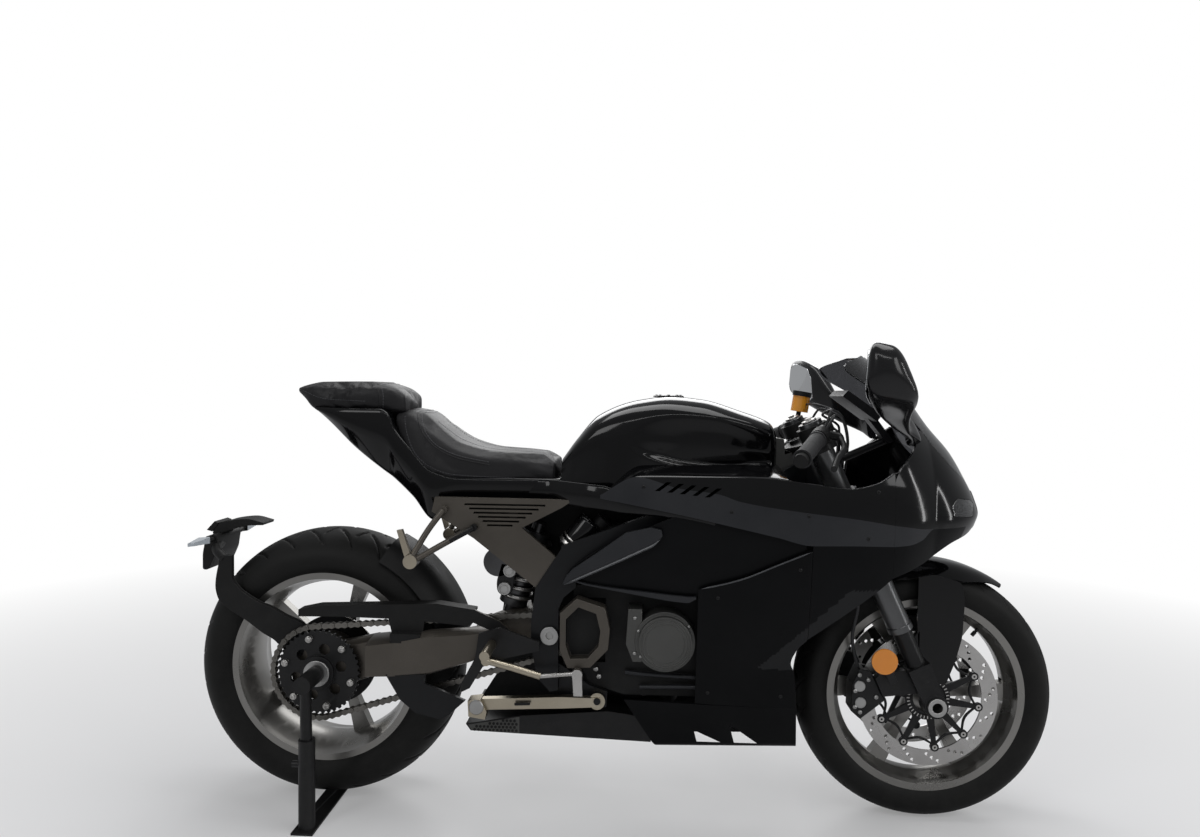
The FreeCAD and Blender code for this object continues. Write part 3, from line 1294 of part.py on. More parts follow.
def nose_side(levels, side):
    """Strip of the nose between the cockpit's edge and the screen's."""
    wall = size("panel_wall")
    sections = []
    for z in levels:
        start, end = follow(COCKPIT, z), follow(SCREEN_EDGE, z) - 1.0
        places = [start + (end - start) * share for share in (0.0, 0.5, 1.0)]
        outer = [nose_at(x, side * fairing_half(x, z), z) for x in places]
        inner = [nose_at(x - (1 if k == 2 else 0), side * (fairing_half(x, z) - wall), z)
                 for k, x in enumerate(places)]
        sections.append(outer + inner[::-1])
    return loft(sections)


# Under edge of the nose beside the wheel: X, Z low, Z high
JAW = ((598.3, 611, 712), (660, 640, 712), (720, 682, 712), (770, 698, 712))
# Lamp windows in the nose, in X and Z
LAMP = ((742, 742), (800, 736), (812, 762), (800, 772), (756, 780), (738, 762))
LAMP_CENTRE = (778, 760)


def lamp_room(side, share):
    """Prism through the nose at one lamp."""
    outline = [(LAMP_CENTRE[0] + share * (x - LAMP_CENTRE[0]),
                LAMP_CENTRE[1] + share * (z - LAMP_CENTRE[1])) for x, z in LAMP]
    return slab(outline, side * 26, side * 240, nose_at)


lower_nose = nose_shell((NOSE_LOW, 712, 734, 770, SCREEN_LOW), COCKPIT, size("panel_wall"))
nose_parts = [lower_nose]
for side in (RIGHT, LEFT):
    nose_parts.append(nose_side((SCREEN_LOW, 808, 856, 905, NOSE_HIGH), side))
    nose_parts.append(panel(JAW, side, 2))
nose = joined(nose_parts)
formed("nose_fairing", nose.cut(Part.makeCompound([lamp_room(side, 1.03) for side in (RIGHT, LEFT)])))
formed("headlamps", Part.makeCompound(
    [lower_nose.common(lamp_room(side, 1.0)) for side in (RIGHT, LEFT)]))

formed("windscreen", nose_shell((SCREEN_LOW + 0.5, 808, 856, 905, NOSE_HIGH, 968, 1010, 1072, 1099),
                                SCREEN_EDGE, size("screen_wall")))

# Instrument panel, on a stay from the headstock
stay_from = along_fork((LOWER_CLAMP + UPPER_CLAMP + 34) / 2, 0,
                       size("head_radius") - size("fork_offset") + 0.3)
formed("instrument_panel", joined([
    loft([[at(520, y, 1004), at(600, y, 946), at(612, y, 962), at(532, y, 1018)]
          for y in (-70, 70)]),
    slab([(590, 954), (640, 892), (654, 898), (606, 962)], -20, 20),
    rod(stay_from, at(646, 0, 902), 9.0)]))


def mirror_unit():
    """Housing and its broad stalk, seated on the nose."""
    # Mirror sections: Y, then X and Z of the upper rear, upper front, lower front and lower rear
    rows = (
        (-430, (505, 1108), (545, 1092), (560, 1040), (498, 1036)),
        (-390, (508, 1113), (552, 1096), (580, 1020), (500, 1010)),
        (-300, (515, 1092), (560, 1070), (600, 970), (528, 974)),
        (-240, (556, 1020), (580, 1010), (622, 940), (580, 946)),
        (-188, (626, 956), (646, 946), (664, 904), (636, 906)),
        (-120, (640, 934), (654, 926), (666, 886), (646, 888)))
    head = loft([[at(x, y, z) for x, z in corners] for y, *corners in rows])
    return head.cut(nose_block)


# Everything inside the nose's outer face, with the gap a mirror's foot keeps to it
nose_block = loft([nose_level(z, 560, -0.8) for z in (846, 873, 905, NOSE_HIGH + 30)])
formed("mirrors", both_sides(mirror_unit()))


# Lower panel beside the engine, up to the side panel: X, Z low, Z high
LOWER = (
    (182, 298, 576),
    (270, 298, 602),
    (356, 298, 641),
    (422.5, 298, 670),
)
# Its front edge behind the wheel, in X and Z, and the room ahead of that
FRONT_EDGE = ((396, 190), (373, 426), (403, 453), (424, 470), (460, 470), (460, 190))
# Keel under the engine: X, Z of the floor, half-width of the floor
KEEL = ((92, 204, 84), (260, 200, 84), (400, 200, 70))
KEEL_RIM = 300.0
# Slanted openings in the keel's sides, in X and Z
KEEL_SLOTS = (((150, 240), (176, 240), (222, 206), (196, 206)),
              ((216, 246), (240, 246), (318, 206), (280, 206)))


def belly_pan():
    """Keel with two raked sides and a floor, open above, and the lower side panels."""
    wall = size("panel_wall")
    sections = []
    for x, low, low_half in KEEL:
        high_half = fairing_half(x, KEEL_RIM)
        sections.append([
            at(x, -high_half, KEEL_RIM), at(x, -low_half, low), at(x, low_half, low),
            at(x, high_half, KEEL_RIM), at(x, high_half - wall, KEEL_RIM),
            at(x, low_half - wall / 2, low + wall), at(x, wall / 2 - low_half, low + wall),
            at(x, wall - high_half, KEEL_RIM)])
    cuts = [slab(slot, side * 80, side * 200) for slot in KEEL_SLOTS for side in (RIGHT, LEFT)]
    keel = loft(sections).cut(Part.makeCompound(cuts))
    sides = [panel(LOWER, side, 3) for side in (RIGHT, LEFT)]
    stays = [rod(at(236, side * (ENGINE_HALF + 0.3), 470),
                 at(236, side * (fairing_half(236, 470) - 2), 470), 9.0) for side in (RIGHT, LEFT)]
    return joined([keel] + sides + stays).cut(slab(FRONT_EDGE, -260, 260))


formed("lower_fairing", belly_pan())

# Radiator, held to the front bank by two stays
formed("radiator", joined([
    slab([(350, 640), (386, 650), (406, 420), (370, 410)], -132, 132),
    rod(at(334.2, -60, 552), at(362, -60, 552), 6.0),
    rod(at(334.2, 60, 552), at(362, 60, 552), 6.0)]))


def exhaust():
    """Collector and flat silencer slung under the engine, with the pipe up to the sump."""
    box = loft([
        [at(-353, y, 221), at(-341, y, 205), at(-222, y, 202), at(84, y, 192), at(84, y, 250),
         at(-20, y, 262), at(-222, y, 245)] for y in (-112, 112)])
    collector = rod(at(60, 0, 236), at(240, 0, 250), 24.0)
    riser = rod(at(130, 0, 240), at(130, 0, 305.7), 22.0)
    return joined([box, collector, riser])


formed("exhaust_silencer", exhaust())

# Footrests and pedals
rider_rests = both_sides(joined([
    slab([(-310, 456), (-262, 470), (-172, 440), (-172, 420), (-250, 400), (-300, 380),
          (-330, 330), (-350, 320), (-352, 336), (-318, 400)], -168, -176),
    rod(at(-183, -150.3, 430), at(-183, -172, 430), 9.0),
    rod(at(-280, -176, 432), at(-280, -262, 432), 11.0)]))
gear_lever = joined([
    bent_tube([at(-290, -186, 398), at(-230, -186, 384), at(-167, -186, 366)], 8.0),
    rod(at(-167, -186, 366), at(-88, -182, 373), 5.0),
    rod(at(-84, -176, 373), at(-84, -192, 373), 12.0),
    slab([(-96, 378), (-74, 378), (-72, 322), (-92, 322)], -174, -184),
    rod(at(-84, -134.3, 332), at(-84, -184, 332), 9.0),
    rod(at(-290, -176.3, 398), at(-290, -192, 398), 11.0)])
brake_pedal = joined([
    bent_tube([at(-290, 187, 398), at(-220, 190, 370), at(-140, 196, 366)], 8.0),
    rod(at(-290, 176.3, 398), at(-290, 197, 398), 11.0),
    rod(at(-140, 188, 366), at(-140, 232, 366), 8.5)])
formed("foot_controls", Part.makeCompound([gear_lever, brake_pedal]))
pillion_rests = both_sides(joined([
    bent_tube([at(-397, -158, 734), at(-430, -166, 690), at(-464, -180, 628)], 7.0),
    bent_tube([at(-328, -158, 694), at(-390, -168, 660), at(-452, -180, 624)], 7.0),
    rod(at(-464, -196, 620), at(-464, -166, 620), 16.0),
    slab([(-496, 690), (-484, 692), (-466, 640), (-478, 630)], -190, -178),
    rod(at(-397, -146.3, 734), at(-397, -159, 734), 8.0),
    rod(at(-328, -146.3, 694), at(-328, -159, 694), 8.0)]))
formed("footrests", Part.makeCompound([rider_rests, pillion_rests]))

# Side stand, folded along the bike

def side_stand():
    """Leg that lies back along the bike when it is folded, with its foot at the rear."""
    leg = loft([
        [at(x, y + 9, z - b), at(x, y - 9, z - b), at(x, y - 9, z + a),
         at(x, y + 9, z + a)]
        for x, y, z, a, b in ((-34, -157, 302, 10, 10), (-120, -154, 299, 12, 14),
                              (-290, -152, 290, 11, 14), (-312, -152, 286, 14, 20))])
    foot = slab([(-334, 262), (-296, 256), (-292, 274), (-306, 302), (-336, 298)], -134, -170)
    eye = rod(SIDE_STAND - FOLD_AXIS * 10, SIDE_STAND + FOLD_AXIS * 10, 18.0)
    hole = rod(SIDE_STAND - FOLD_AXIS * 30, SIDE_STAND + FOLD_AXIS * 30, 8.0)
    return joined([leg, foot, eye]).cut(hole)


formed("side_stand", side_stand())


# Paddock stand
def paddock_stand():
    """Pin in the hollow axle, round post and a foot plate under the wheel."""
    side = -size("stand_side")
    post_x = REAR_AXLE_X + 4
    wall = size("stand_foot_wall")
    half = size("stand_foot_width") / 2
    head_z = REAR_AXLE_Z
    pin = rod(vector(REAR_AXLE_X, side, head_z), vector(REAR_AXLE_X, CHAIN_Y + 30, head_z),
              size("rear_axle_bore") - 0.5)
    shoulder = rod(vector(REAR_AXLE_X, side - 20, head_z), vector(REAR_AXLE_X, AXLE_RIGHT - 6, head_z),
                   20.0)
    upper = rod(vector(post_x, side, 150), vector(REAR_AXLE_X, side, head_z + 10),
                size("stand_tube_radius"))
    sleeve = rod(vector(post_x, side, 0), vector(post_x, side, 208), size("stand_post_radius"))
    knob = rod(vector(post_x - 34, side, 150), vector(post_x, side, 150), 7.0)
    foot = slab([(post_x - half, 0), (post_x + half, 0), (post_x + half, wall),
                 (post_x - half, wall)], side - 30, size("stand_foot_reach"), vector)
    tee = slab([(post_x - 130, 0), (post_x + 130, 0), (post_x + 130, wall), (post_x - 130, wall)],
               size("stand_foot_reach") - 40, size("stand_foot_reach"), vector)
    return joined([pin, shoulder, upper, sleeve, knob, foot, tee])


formed("paddock_stand", paddock_stand())

# Check every object and write one file for each sub-part
doc.recompute()
for item in doc.Objects:
    if "Invalid" in item.State or "Error" in item.State:
        raise RuntimeError("%s did not build: %s" % (item.Label, item.State))
for node in NODES:
    if node.Shape.isNull() or not node.Shape.isValid():
        raise RuntimeError("%s has no valid shape" % node.Label)
for node in NODES:
    node.Shape.exportStep("parts/%s.step" % node.Label)
    print("%-24s solids %d volume %.0f cm3" % (node.Label, len(node.Shape.Solids),
                                              node.Shape.Volume / 1000))
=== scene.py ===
"""Sport bike on a one-sided post stand: bodywork, tyres, cushions, chain and finishes."""
import math

import bmesh
import bpy
import numpy as np
from bpy.props import FloatProperty, FloatVectorProperty, IntProperty, PointerProperty
from mathutils import Matrix


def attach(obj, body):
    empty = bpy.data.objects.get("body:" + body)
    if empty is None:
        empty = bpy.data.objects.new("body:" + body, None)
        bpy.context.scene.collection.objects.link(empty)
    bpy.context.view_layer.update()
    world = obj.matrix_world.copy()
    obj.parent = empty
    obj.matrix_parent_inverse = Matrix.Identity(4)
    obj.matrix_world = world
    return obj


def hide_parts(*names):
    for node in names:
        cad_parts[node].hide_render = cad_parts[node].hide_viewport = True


bl_info = {
    "name": "Sport bike on a post stand",
    "version": (1, 0, 0),
    "blender": (4, 5, 0),
    "location": "View3D > Sidebar > Bike",
    "description": "Dresses the packed sport bike with bodywork, tyres, cushions and finishes",
    "category": "Add Mesh",
}

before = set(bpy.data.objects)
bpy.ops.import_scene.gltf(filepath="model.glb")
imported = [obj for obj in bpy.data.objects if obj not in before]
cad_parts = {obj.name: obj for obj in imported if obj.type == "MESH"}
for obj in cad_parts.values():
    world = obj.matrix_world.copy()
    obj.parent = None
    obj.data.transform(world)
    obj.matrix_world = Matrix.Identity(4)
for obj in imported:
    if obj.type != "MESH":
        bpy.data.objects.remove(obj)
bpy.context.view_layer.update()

# Places in the row frame, in millimetres: +X forward, +Y to the rider's left, +Z up.
# Shapes are worked out in millimetres and become metres in piece().
MM = 0.001
WELD = 2e-6  # metres: points closer than this are one
RIGHT, LEFT = -1.0, 1.0
SIDES = (RIGHT, LEFT)
FRONT_AXLE = np.array((730.5, 0.0, 300.0))
REAR_AXLE = np.array((-704.5, 0.0, 337.0))
RAKE = math.radians(24.5)
FORK_UP = np.array((-math.sin(RAKE), 0.0, math.cos(RAKE)))
FORK_AHEAD = np.array((math.cos(RAKE), 0.0, math.sin(RAKE)))
PITCH, REAR_TEETH, DRIVE_TEETH = 15.875, 43, 16
RIM_EDGE, GROOVE = 226.0, 4.5  # radius of the rims' edge and depth of the tread
DRIVE = np.array((-86.0, 0.0, 455.0))
CHAIN_Y = -118.0
FORK_LENGTH, FORK_SPREAD = 708.0, 105.0

# Fairing: plan of its widest line (X, half-width), fall of the sides (Z, share), front line (Z, X)
PLAN = ((-108, 184), (-40, 194), (100, 214), (250, 234), (390, 242), (520, 238), (620, 222),
        (700, 196))
FALL = ((190, 0.56), (300, 0.66), (420, 0.78), (540, 0.90), (640, 0.97), (740, 1.0), (800, 0.99),
        (870, 0.92), (940, 0.82), (1010, 0.72), (1099, 0.62))
NOSE = ((611, 790), (660, 812), (700, 834), (712, 840), (734, 846), (770, 836), (818, 813),
        (873, 782), (936, 730), (992, 690), (1052, 636), (1099, 581))
NOSE_ROUND = 230.0
# Where the side panels end and the nose begins (X); the screen's foot and the cockpit's top (Z);
# how far the nose's front is rounded off
PANEL_END, SCREEN_FOOT, COCKPIT_TOP, NOSE_ROLL = 598.3, 786.0, 928.0, 9.0
# Edge of the cockpit, then the seam between the nose and the screen: Z, X
COCKPIT = ((706, 598.3), (786, 598.3), (818, 598.3), (846, 612), (873, 640), (928, 682))
SCREEN_EDGE = ((786, 822), (808, 800), (856, 745), (905, 703), (928, 688), (1010, 590),
               (1072, 506), (1099, 560))
# Side panel: its lower edge, top edge and the upper edge of the grey stripe (X, Z)
SIDE_LOW = ((-36, 771), (50, 757), (160, 738), (270, 716), (345, 700), (423, 683), (517, 684),
            (598, 682))
SIDE_TOP = ((-36, 779), (50, 821), (160, 824), (270, 826), (345, 824), (423, 815), (500, 806),
            (560, 818), (598, 840))
STRIPE_TOP = ((-36, 779), (45, 821), (138, 799), (223, 789), (266, 775), (393, 756), (520, 741),
              (598, 728))
# Under edge of the side panel ahead of the engine, and of the nose beside the wheel
CHIN = ((423, 470), (500, 530), (560, 578), (598, 610))
JAW = ((0.0, 611), (0.266, 640), (0.525, 682), (0.741, 698), (0.80, 706), (1.0, 706))
# Stripe on the nose: Z of its lower and upper edge against the place along the nose from 0 to 1
NOSE_STRIPE = ((0.0, 682, 728), (0.10, 684, 723), (0.20, 694, 718), (0.27, 716, 717),
               (1.0, 716, 717))
MIDDLE_LOW = ((-108, 584), (-60, 572), (60, 562), (166, 556), (271, 603), (357, 642), (412, 668))
MIDDLE_HIGH = ((-108, 600), (-60, 640), (60, 704), (166, 742), (271, 720), (357, 702), (412, 684))
COVER_LOW = ((-119, 570), (-30, 614), (60, 660), (84, 673), (100, 688))
FRAME_COVER = ((-121, 571), (-112, 592), (-98, 608), (-40, 650), (22, 697), (77, 711), (100, 706),
               (102, 692), (84, 673), (60, 660), (-30, 614))
# Dark belt from the tail to the side panels: X, half-width, low, high
BELT = ((-240, 112, 752, 800), (-168, 118, 752, 803), (-121, 142, 747, 802), (-60, 176, 746, 800),
        (-30, 184, 744, 798), (20, 194, 738, 780), (101, 204, 732, 760), (218, 220, 714, 736))
LOWER_TOP = ((182, 576), (270, 602), (356, 641), (422.5, 670))
LOWER_FRONT = ((190, 418), (328, 406), (392, 398), (415, 390), (453, 405), (470, 423), (670, 423))
# Keel: its rear edge (Z, X), and the slots in its flanks and floor (X, Z)
KEEL_REAR = ((182, 98), (200, 84), (300, 20))
KEEL_HALF = 118.0
KEEL_SLOTS = (((182, 232), (190, 200), (248, 200)), ((262, 252), (331, 200), (276, 200)))
LAMP = ((742, 742), (800, 736), (812, 762), (800, 772), (756, 780), (738, 762))
LAMP_CENTRE = np.array((778.0, 760.0))
# Tank: X, top, shoulder, half-width, waist, low
TANK = ((-133, 850, 830, 92, 104, 790), (-100, 896, 860, 112, 122, 782),
        (-49, 953, 888, 128, 134, 776), (48, 990, 908, 146, 140, 772),
        (122, 999, 910, 152, 140, 775), (195, 993, 905, 150, 138, 785),
        (292, 965, 890, 136, 126, 805), (340, 948, 882, 118, 110, 826),
        (358, 938, 880, 104, 98, 834), (368, 922, 876, 78, 74, 842))
# Hollow for the knee: its middle, half its length and height, its depth and its lean in degrees
HOLLOW, HOLLOW_REACH, HOLLOW_DEPTH, HOLLOW_LEAN = (205, 896), (184, 62), 17.0, -4.5
# Tail: X, half-width, low, high, half-width of its underside
TAIL = ((-732, 76, 954, 965, 52), (-700, 88, 926, 965, 58), (-640, 100, 868, 964, 62),
        (-566, 106, 812, 964, 68), (-545, 108, 798, 954, 70), (-532, 109, 788, 926, 73),
        (-490, 112, 752, 874, 84), (-437, 124, 700, 824, 100),
        (-372, 130, 742, 808, 112), (-221, 118, 750, 806, 110), (-136, 102, 758, 804, 98))
# Cushions: X, half-width, low, high
SEAT = ((-536, 84, 898, 964), (-512, 100, 822, 964), (-485, 114, 794, 962), (-434, 128, 778, 922),
        (-371, 136, 782, 880), (-300, 132, 786, 862), (-221, 118, 789, 857), (-140, 96, 790, 850))
PILLION = ((-797, 34, 1004, 1011), (-772, 58, 986, 1017), (-735, 80, 956, 1020),
           (-598, 96, 952, 1022), (-540, 92, 950, 1014), (-505, 78, 948, 992))
# Mirror: Y, then X and Z of the upper rear, upper front, lower front and lower rear corner
MIRROR = ((430, 482, 1104, 540, 1094, 572, 1018, 474, 1020),
          (390, 491, 1113, 548, 1100, 596, 985, 484, 1000),
          (300, 514, 1096, 560, 1074, 612, 950, 524, 966),
          (240, 556, 1022, 584, 1008, 628, 924, 576, 938),
          (188, 626, 956, 646, 946, 664, 904, 636, 906),
          (150, 634, 944, 650, 936, 665, 894, 641, 896))

# Screws of the panels (X, Z)
SCREWS = ((60, 800), (250, 752), (413, 747), (540, 700), (560, 800), (210, 330), (372, 330),
          (398, 630), (225, 560))
# Seams of the cushions: seen from, corners (X, Z or X, Y), kind
SEAMS = {
    "rider_cushion": (
        ("side", ((-508, 946), (-498, 905), (-478, 862), (-440, 830), (-380, 812), (-250, 806),
                  (-160, 804)), "stitch"),
        ("side", ((-470, 950), (-456, 915), (-425, 880), (-370, 856), (-300, 842)), "stitch"),
        ("side", ((-478, 952), (-464, 916), (-432, 878), (-374, 850), (-300, 835)), "piping"),
        ("top", ((-470, -70), (-462, 0), (-470, 70)), "stitch"),
        ("top", ((-480, -70), (-472, 0), (-480, 70)), "stitch"),
        ("top", ((-440, 46), (-300, 44), (-170, 40)), "stitch"),
        ("top", ((-440, -46), (-300, -44), (-170, -40)), "stitch")),
    "pillion_cushion": (
        ("side", ((-566, 1012), (-560, 990), (-562, 962)), "stitch"),
        ("side", ((-576, 1012), (-570, 990), (-572, 962)), "piping"),
        ("top", ((-580, -70), (-572, 0), (-580, 70)), "piping"),
        ("top", ((-568, -70), (-560, 0), (-568, 70)), "stitch"),
        ("side", ((-770, 1004), (-700, 984), (-600, 980)), "stitch"))}

# Hanger of the number plate, seen from the side: its lower edge, then its upper edge (X, Z)
HANGER_LOW = ((-946, 609), (-958, 536), (-951, 505), (-934, 488), (-875, 449), (-822, 408),
              (-790, 380), (-753, 368))
HANGER_HIGH = ((-917, 609), (-917, 559), (-902, 533), (-875, 512), (-836, 491), (-792, 466),
               (-748, 446), (-725, 420))
# Front mudguard: angle round the wheel, half-width, how far its edge drops; skirt about the axle
MUDGUARD = ((54, 12, 1), (60, 36, 5), (67, 60, 14), (77, 77, 26), (100, 77, 26), (122, 62, 18))
SKIRT = ((-30, 285), (5, 294), (70, 275), (76, 229), (72, 147), (57, 89), (36, 34), (8, 40),
         (-26, 98), (-31, 179))


# Shapes: arrays in, arrays out

def smooth(table, at):
    """Monotone cubic through a short table of (place, value) rows, read at an array of places.

    The slope at a row is the weighted harmonic mean of the runs beside it, so nothing overshoots.
    """
    x, y = np.array(table, float).T
    at = np.clip(np.asarray(at, float), x[0], x[-1])
    step, run = np.diff(x), np.diff(y) / np.diff(x)
    slope = np.empty_like(x)
    slope[0], slope[-1] = run[0], run[-1]
    a, b = 2 * step[1:] + step[:-1], step[1:] + 2 * step[:-1]
    same = run[:-1] * run[1:] > 0
    bottom = np.where(same, a * run[1:] + b * run[:-1], 1.0)
    slope[1:-1] = np.where(same, (a + b) * run[:-1] * run[1:] / bottom, 0.0)
    k = np.clip(np.searchsorted(x, at, side="right") - 1, 0, len(x) - 2)
    t = (at - x[k]) / step[k]
    return (y[k] * (1 + 2 * t) * (1 - t) ** 2 + slope[k] * step[k] * t * (1 - t) ** 2
            + y[k + 1] * t * t * (3 - 2 * t) + slope[k + 1] * step[k] * t * t * (t - 1))


def columns(table, at):
    """Every column of a table against its first one, read smoothly at an array of places."""
    rows = np.array(table, float)
    rows = rows[np.argsort(rows[:, 0])]
    return [smooth(rows[:, (0, k)], at) for k in range(1, rows.shape[1])]


def ease(low, high, value):
    """Smooth step: 0 below low, 1 above high, 3t^2 - 2t^3 between."""
    t = np.clip((value - low) / (high - low), 0.0, 1.0)
    return t * t * (3 - 2 * t)


def spread(start, end, count):
    """Even places from start to end, both kept."""
    return np.linspace(start, end, count)


def spread_u(start, end, count):
    """Even places along the first way of a grid."""
    return spread(start, end, count)[:, None]


def spread_v(start, end, count):
    """Even places along the second way of a grid."""
    return spread(start, end, count)[None, :]


def blend(low, high, share):
    """Values a share of the way from low to high."""
    return low + (high - low) * share


def round_angles(count):
    """Even angles once round, the last not repeated."""
    return np.linspace(0, 2 * math.pi, count, endpoint=False)


def grid(points, close_u=False, close_v=False):
    """Vertices and quads of a surface given as an array of points P(u, v) of shape (m, n, 3)."""
    m, n = points.shape[:2]
    number = np.arange(m * n).reshape(m, n)
    if close_u:
        number = np.vstack([number, number[:1]])
    if close_v:
        number = np.hstack([number, number[:, :1]])
    quads = np.stack([number[:-1, :-1], number[1:, :-1], number[1:, 1:], number[:-1, 1:]], -1)
    return points.reshape(-1, 3), quads.reshape(-1, 4)


def sheet(x, y, z, toward):
    """Open surface P = (x, y, z) of arrays that broadcast, its faces turned toward a direction."""
    points, quads = grid(np.stack(np.broadcast_arrays(x, y, z), -1).astype(float))
    across = np.cross(points[quads[:, 2]] - points[quads[:, 0]],
                      points[quads[:, 3]] - points[quads[:, 1]]).sum(0)
    return points, quads[:, ::-1] if across @ np.asarray(toward, float) < 0 else quads


def capped(rings):
    """Closed body of rings one after another, each end closed in the middle of its ring."""
    ends = [np.broadcast_to(ring.mean(0), ring.shape)[None] for ring in (rings[0], rings[-1])]
    return grid(np.concatenate([ends[0], rings, ends[1]]), close_v=True)


def bulged(value, power):
    """Sign-keeping power: sign(v) |v|^power."""
    return np.sign(value) * np.abs(value) ** power


def turned(profile, centre, steps=96):
    """Surface of revolution about the Y axis through centre: P = c + (r cos a, y, r sin a)."""
    angle = round_angles(steps)[:, None]
    radius, across = np.asarray(profile, float).T
    points = np.stack([centre[0] + radius * np.cos(angle), centre[1] + across + 0 * angle,
                       centre[2] + radius * np.sin(angle)], -1)
    return grid(points, close_u=True, close_v=True)


def across_of(direction):
    """Two unit vectors square to a direction and to each other."""
    first = np.array((0.0, 0.0, 1.0)) if abs(direction[2]) < 0.9 else np.array((1.0, 0.0, 0.0))
    side = np.cross(direction, first)
    side /= np.linalg.norm(side)
    return side, np.cross(direction, side)


def swept(path, ring, sizes=None):
    """Ring of (side, up) points carried along a path with the least turning, both ends closed."""
    path, ring = np.asarray(path, float), np.asarray(ring, float)
    tangent = np.gradient(path, axis=0)
    tangent /= np.linalg.norm(tangent, axis=1)[:, None]
    side = across_of(tangent[0])[0]
    sides = []
    for t in tangent:
        side = side - t * (side @ t)
        side = side / np.linalg.norm(side)
        sides.append(side)
    sides = np.array(sides)
    ups = np.cross(tangent, sides)
    sizes = np.ones(len(path)) if sizes is None else np.broadcast_to(sizes, (len(path),))
    picks = np.concatenate([[0], np.arange(len(path)), [len(path) - 1]])
    sizes = np.concatenate([[0.0], sizes, [0.0]])[:, None, None]
    points = path[picks][:, None] + sizes * (ring[:, 0, None] * sides[picks][:, None]
                                             + ring[:, 1, None] * ups[picks][:, None])
    return grid(points, close_v=True)


def circle(radius, count=16):
    """Ring of points on a circle."""
    angle = round_angles(count)
    return np.stack([radius * np.cos(angle), radius * np.sin(angle)], -1)


def rod(start, end, radius, around=24, edge=0.0):
    """Straight round bar, its two rims rounded by a quarter arc of radius edge."""
    start, end = np.asarray(start, float), np.asarray(end, float)
    length = np.linalg.norm(end - start)
    turn = np.linspace(0, math.pi / 2, 4 if edge else 1)
    near, shrink = edge * (1 - np.sin(turn)), edge * (1 - np.cos(turn))
    places = np.concatenate([near[::-1] if edge else [0.0], length - near if edge else [length]])
    lessen = np.concatenate([shrink[::-1] if edge else [0.0], shrink if edge else [0.0]])
    order = np.argsort(places, kind="stable")
    places, lessen = places[order], lessen[order]
    out = (end - start) / length
    side, up = across_of(out)
    path = start + places[:, None] * out
    radii = np.concatenate([[0.0], radius - lessen, [0.0]])[:, None, None]
    picks = np.concatenate([[0], np.arange(len(path)), [len(path) - 1]])
    ring = circle(1.0, around)
    points = path[picks][:, None] + radii * (ring[:, 0, None] * side + ring[:, 1, None] * up)
    return grid(points, close_v=True)


def bolt(at, out, radius=5.0, height=4.0):
    """Button-headed screw with a round socket, standing out along a direction."""
    at, out = np.asarray(at, float), np.asarray(out, float)
    out = out / np.linalg.norm(out)
    side, up = across_of(out)
    share = np.array((0.0, 1.0, 1.0, 0.88, 0.62, 0.5, 0.5, 0.0))
    lift = np.array((0.0, 0.0, 0.45, 0.8, 1.0, 1.0, 0.45, 0.45)) * height
    ring = circle(radius, 12)
    points = (at + lift[:, None, None] * out
              + share[:, None, None] * (ring[:, 0, None] * side + ring[:, 1, None] * up))
    return grid(points, close_v=True)


def prism(outline, y_from, y_to):
    """Closed prism of an outline in X and Z between two places across the bike."""
    outline = np.asarray(outline, float)
    middle = np.broadcast_to(outline.mean(0), outline.shape)
    flat = np.stack([middle, outline, outline, middle])
    y = np.array((y_from, y_from, y_to, y_to), float)[:, None] + 0 * flat[..., 0]
    return grid(np.stack([flat[..., 0], y, flat[..., 1]], -1), close_v=True)


def filleted(corners, radius, steps=5):
    """Polyline with every inner corner rounded by a quadratic arc that starts a radius away."""
    corners = np.asarray(corners, float)
    rows = [corners[:1]]
    share = np.linspace(0, 1, steps)[:, None]
    for before, corner, after in zip(corners, corners[1:], corners[2:]):
        reach = min(radius, 0.45 * np.linalg.norm(before - corner),
                    0.45 * np.linalg.norm(after - corner))
        start = corner + (before - corner) / np.linalg.norm(before - corner) * reach
        end = corner + (after - corner) / np.linalg.norm(after - corner) * reach
        rows.append((1 - share) ** 2 * start + 2 * share * (1 - share) * corner + share ** 2 * end)
    return np.vstack(rows + [corners[-1:]])


def rounded_ring(corners, radius, steps=5):
    """Closed outline with every corner after the first rounded, the first one kept."""
    return filleted(list(corners) + [corners[0]], radius, steps)[:-1]


def curve(corners, count=48):
    """Smooth line through a few corners: each coordinate is a monotone cubic of the run so far."""
    corners = np.asarray(corners, float)
    run = np.concatenate([[0], np.cumsum(np.linalg.norm(np.diff(corners, axis=0), axis=1))])
    at = np.linspace(0, run[-1], count)
    return np.stack([smooth(np.stack([run, values], -1), at) for values in corners.T], -1)


def mirrored(part):
    """The same surface on the other side of the bike, its faces turned to point outwards."""
    points, quads = part
    return points * np.array((1.0, -1.0, 1.0)), quads[:, ::-1]


def both(parts):
    """Surfaces of one side with their twins on the other."""
    return list(parts) + [mirrored(part) for part in parts]


# Objects: surfaces in millimetres become finished pieces in metres

def add_object(name, mesh, material=()):
    """A new object for a mesh, in the scene, with one material or several."""
    for one in material if isinstance(material, tuple) else (material,):
        mesh.materials.append(bpy.data.materials[one])
    made = bpy.data.objects.new(name, mesh)
    bpy.context.scene.collection.objects.link(made)
    return made


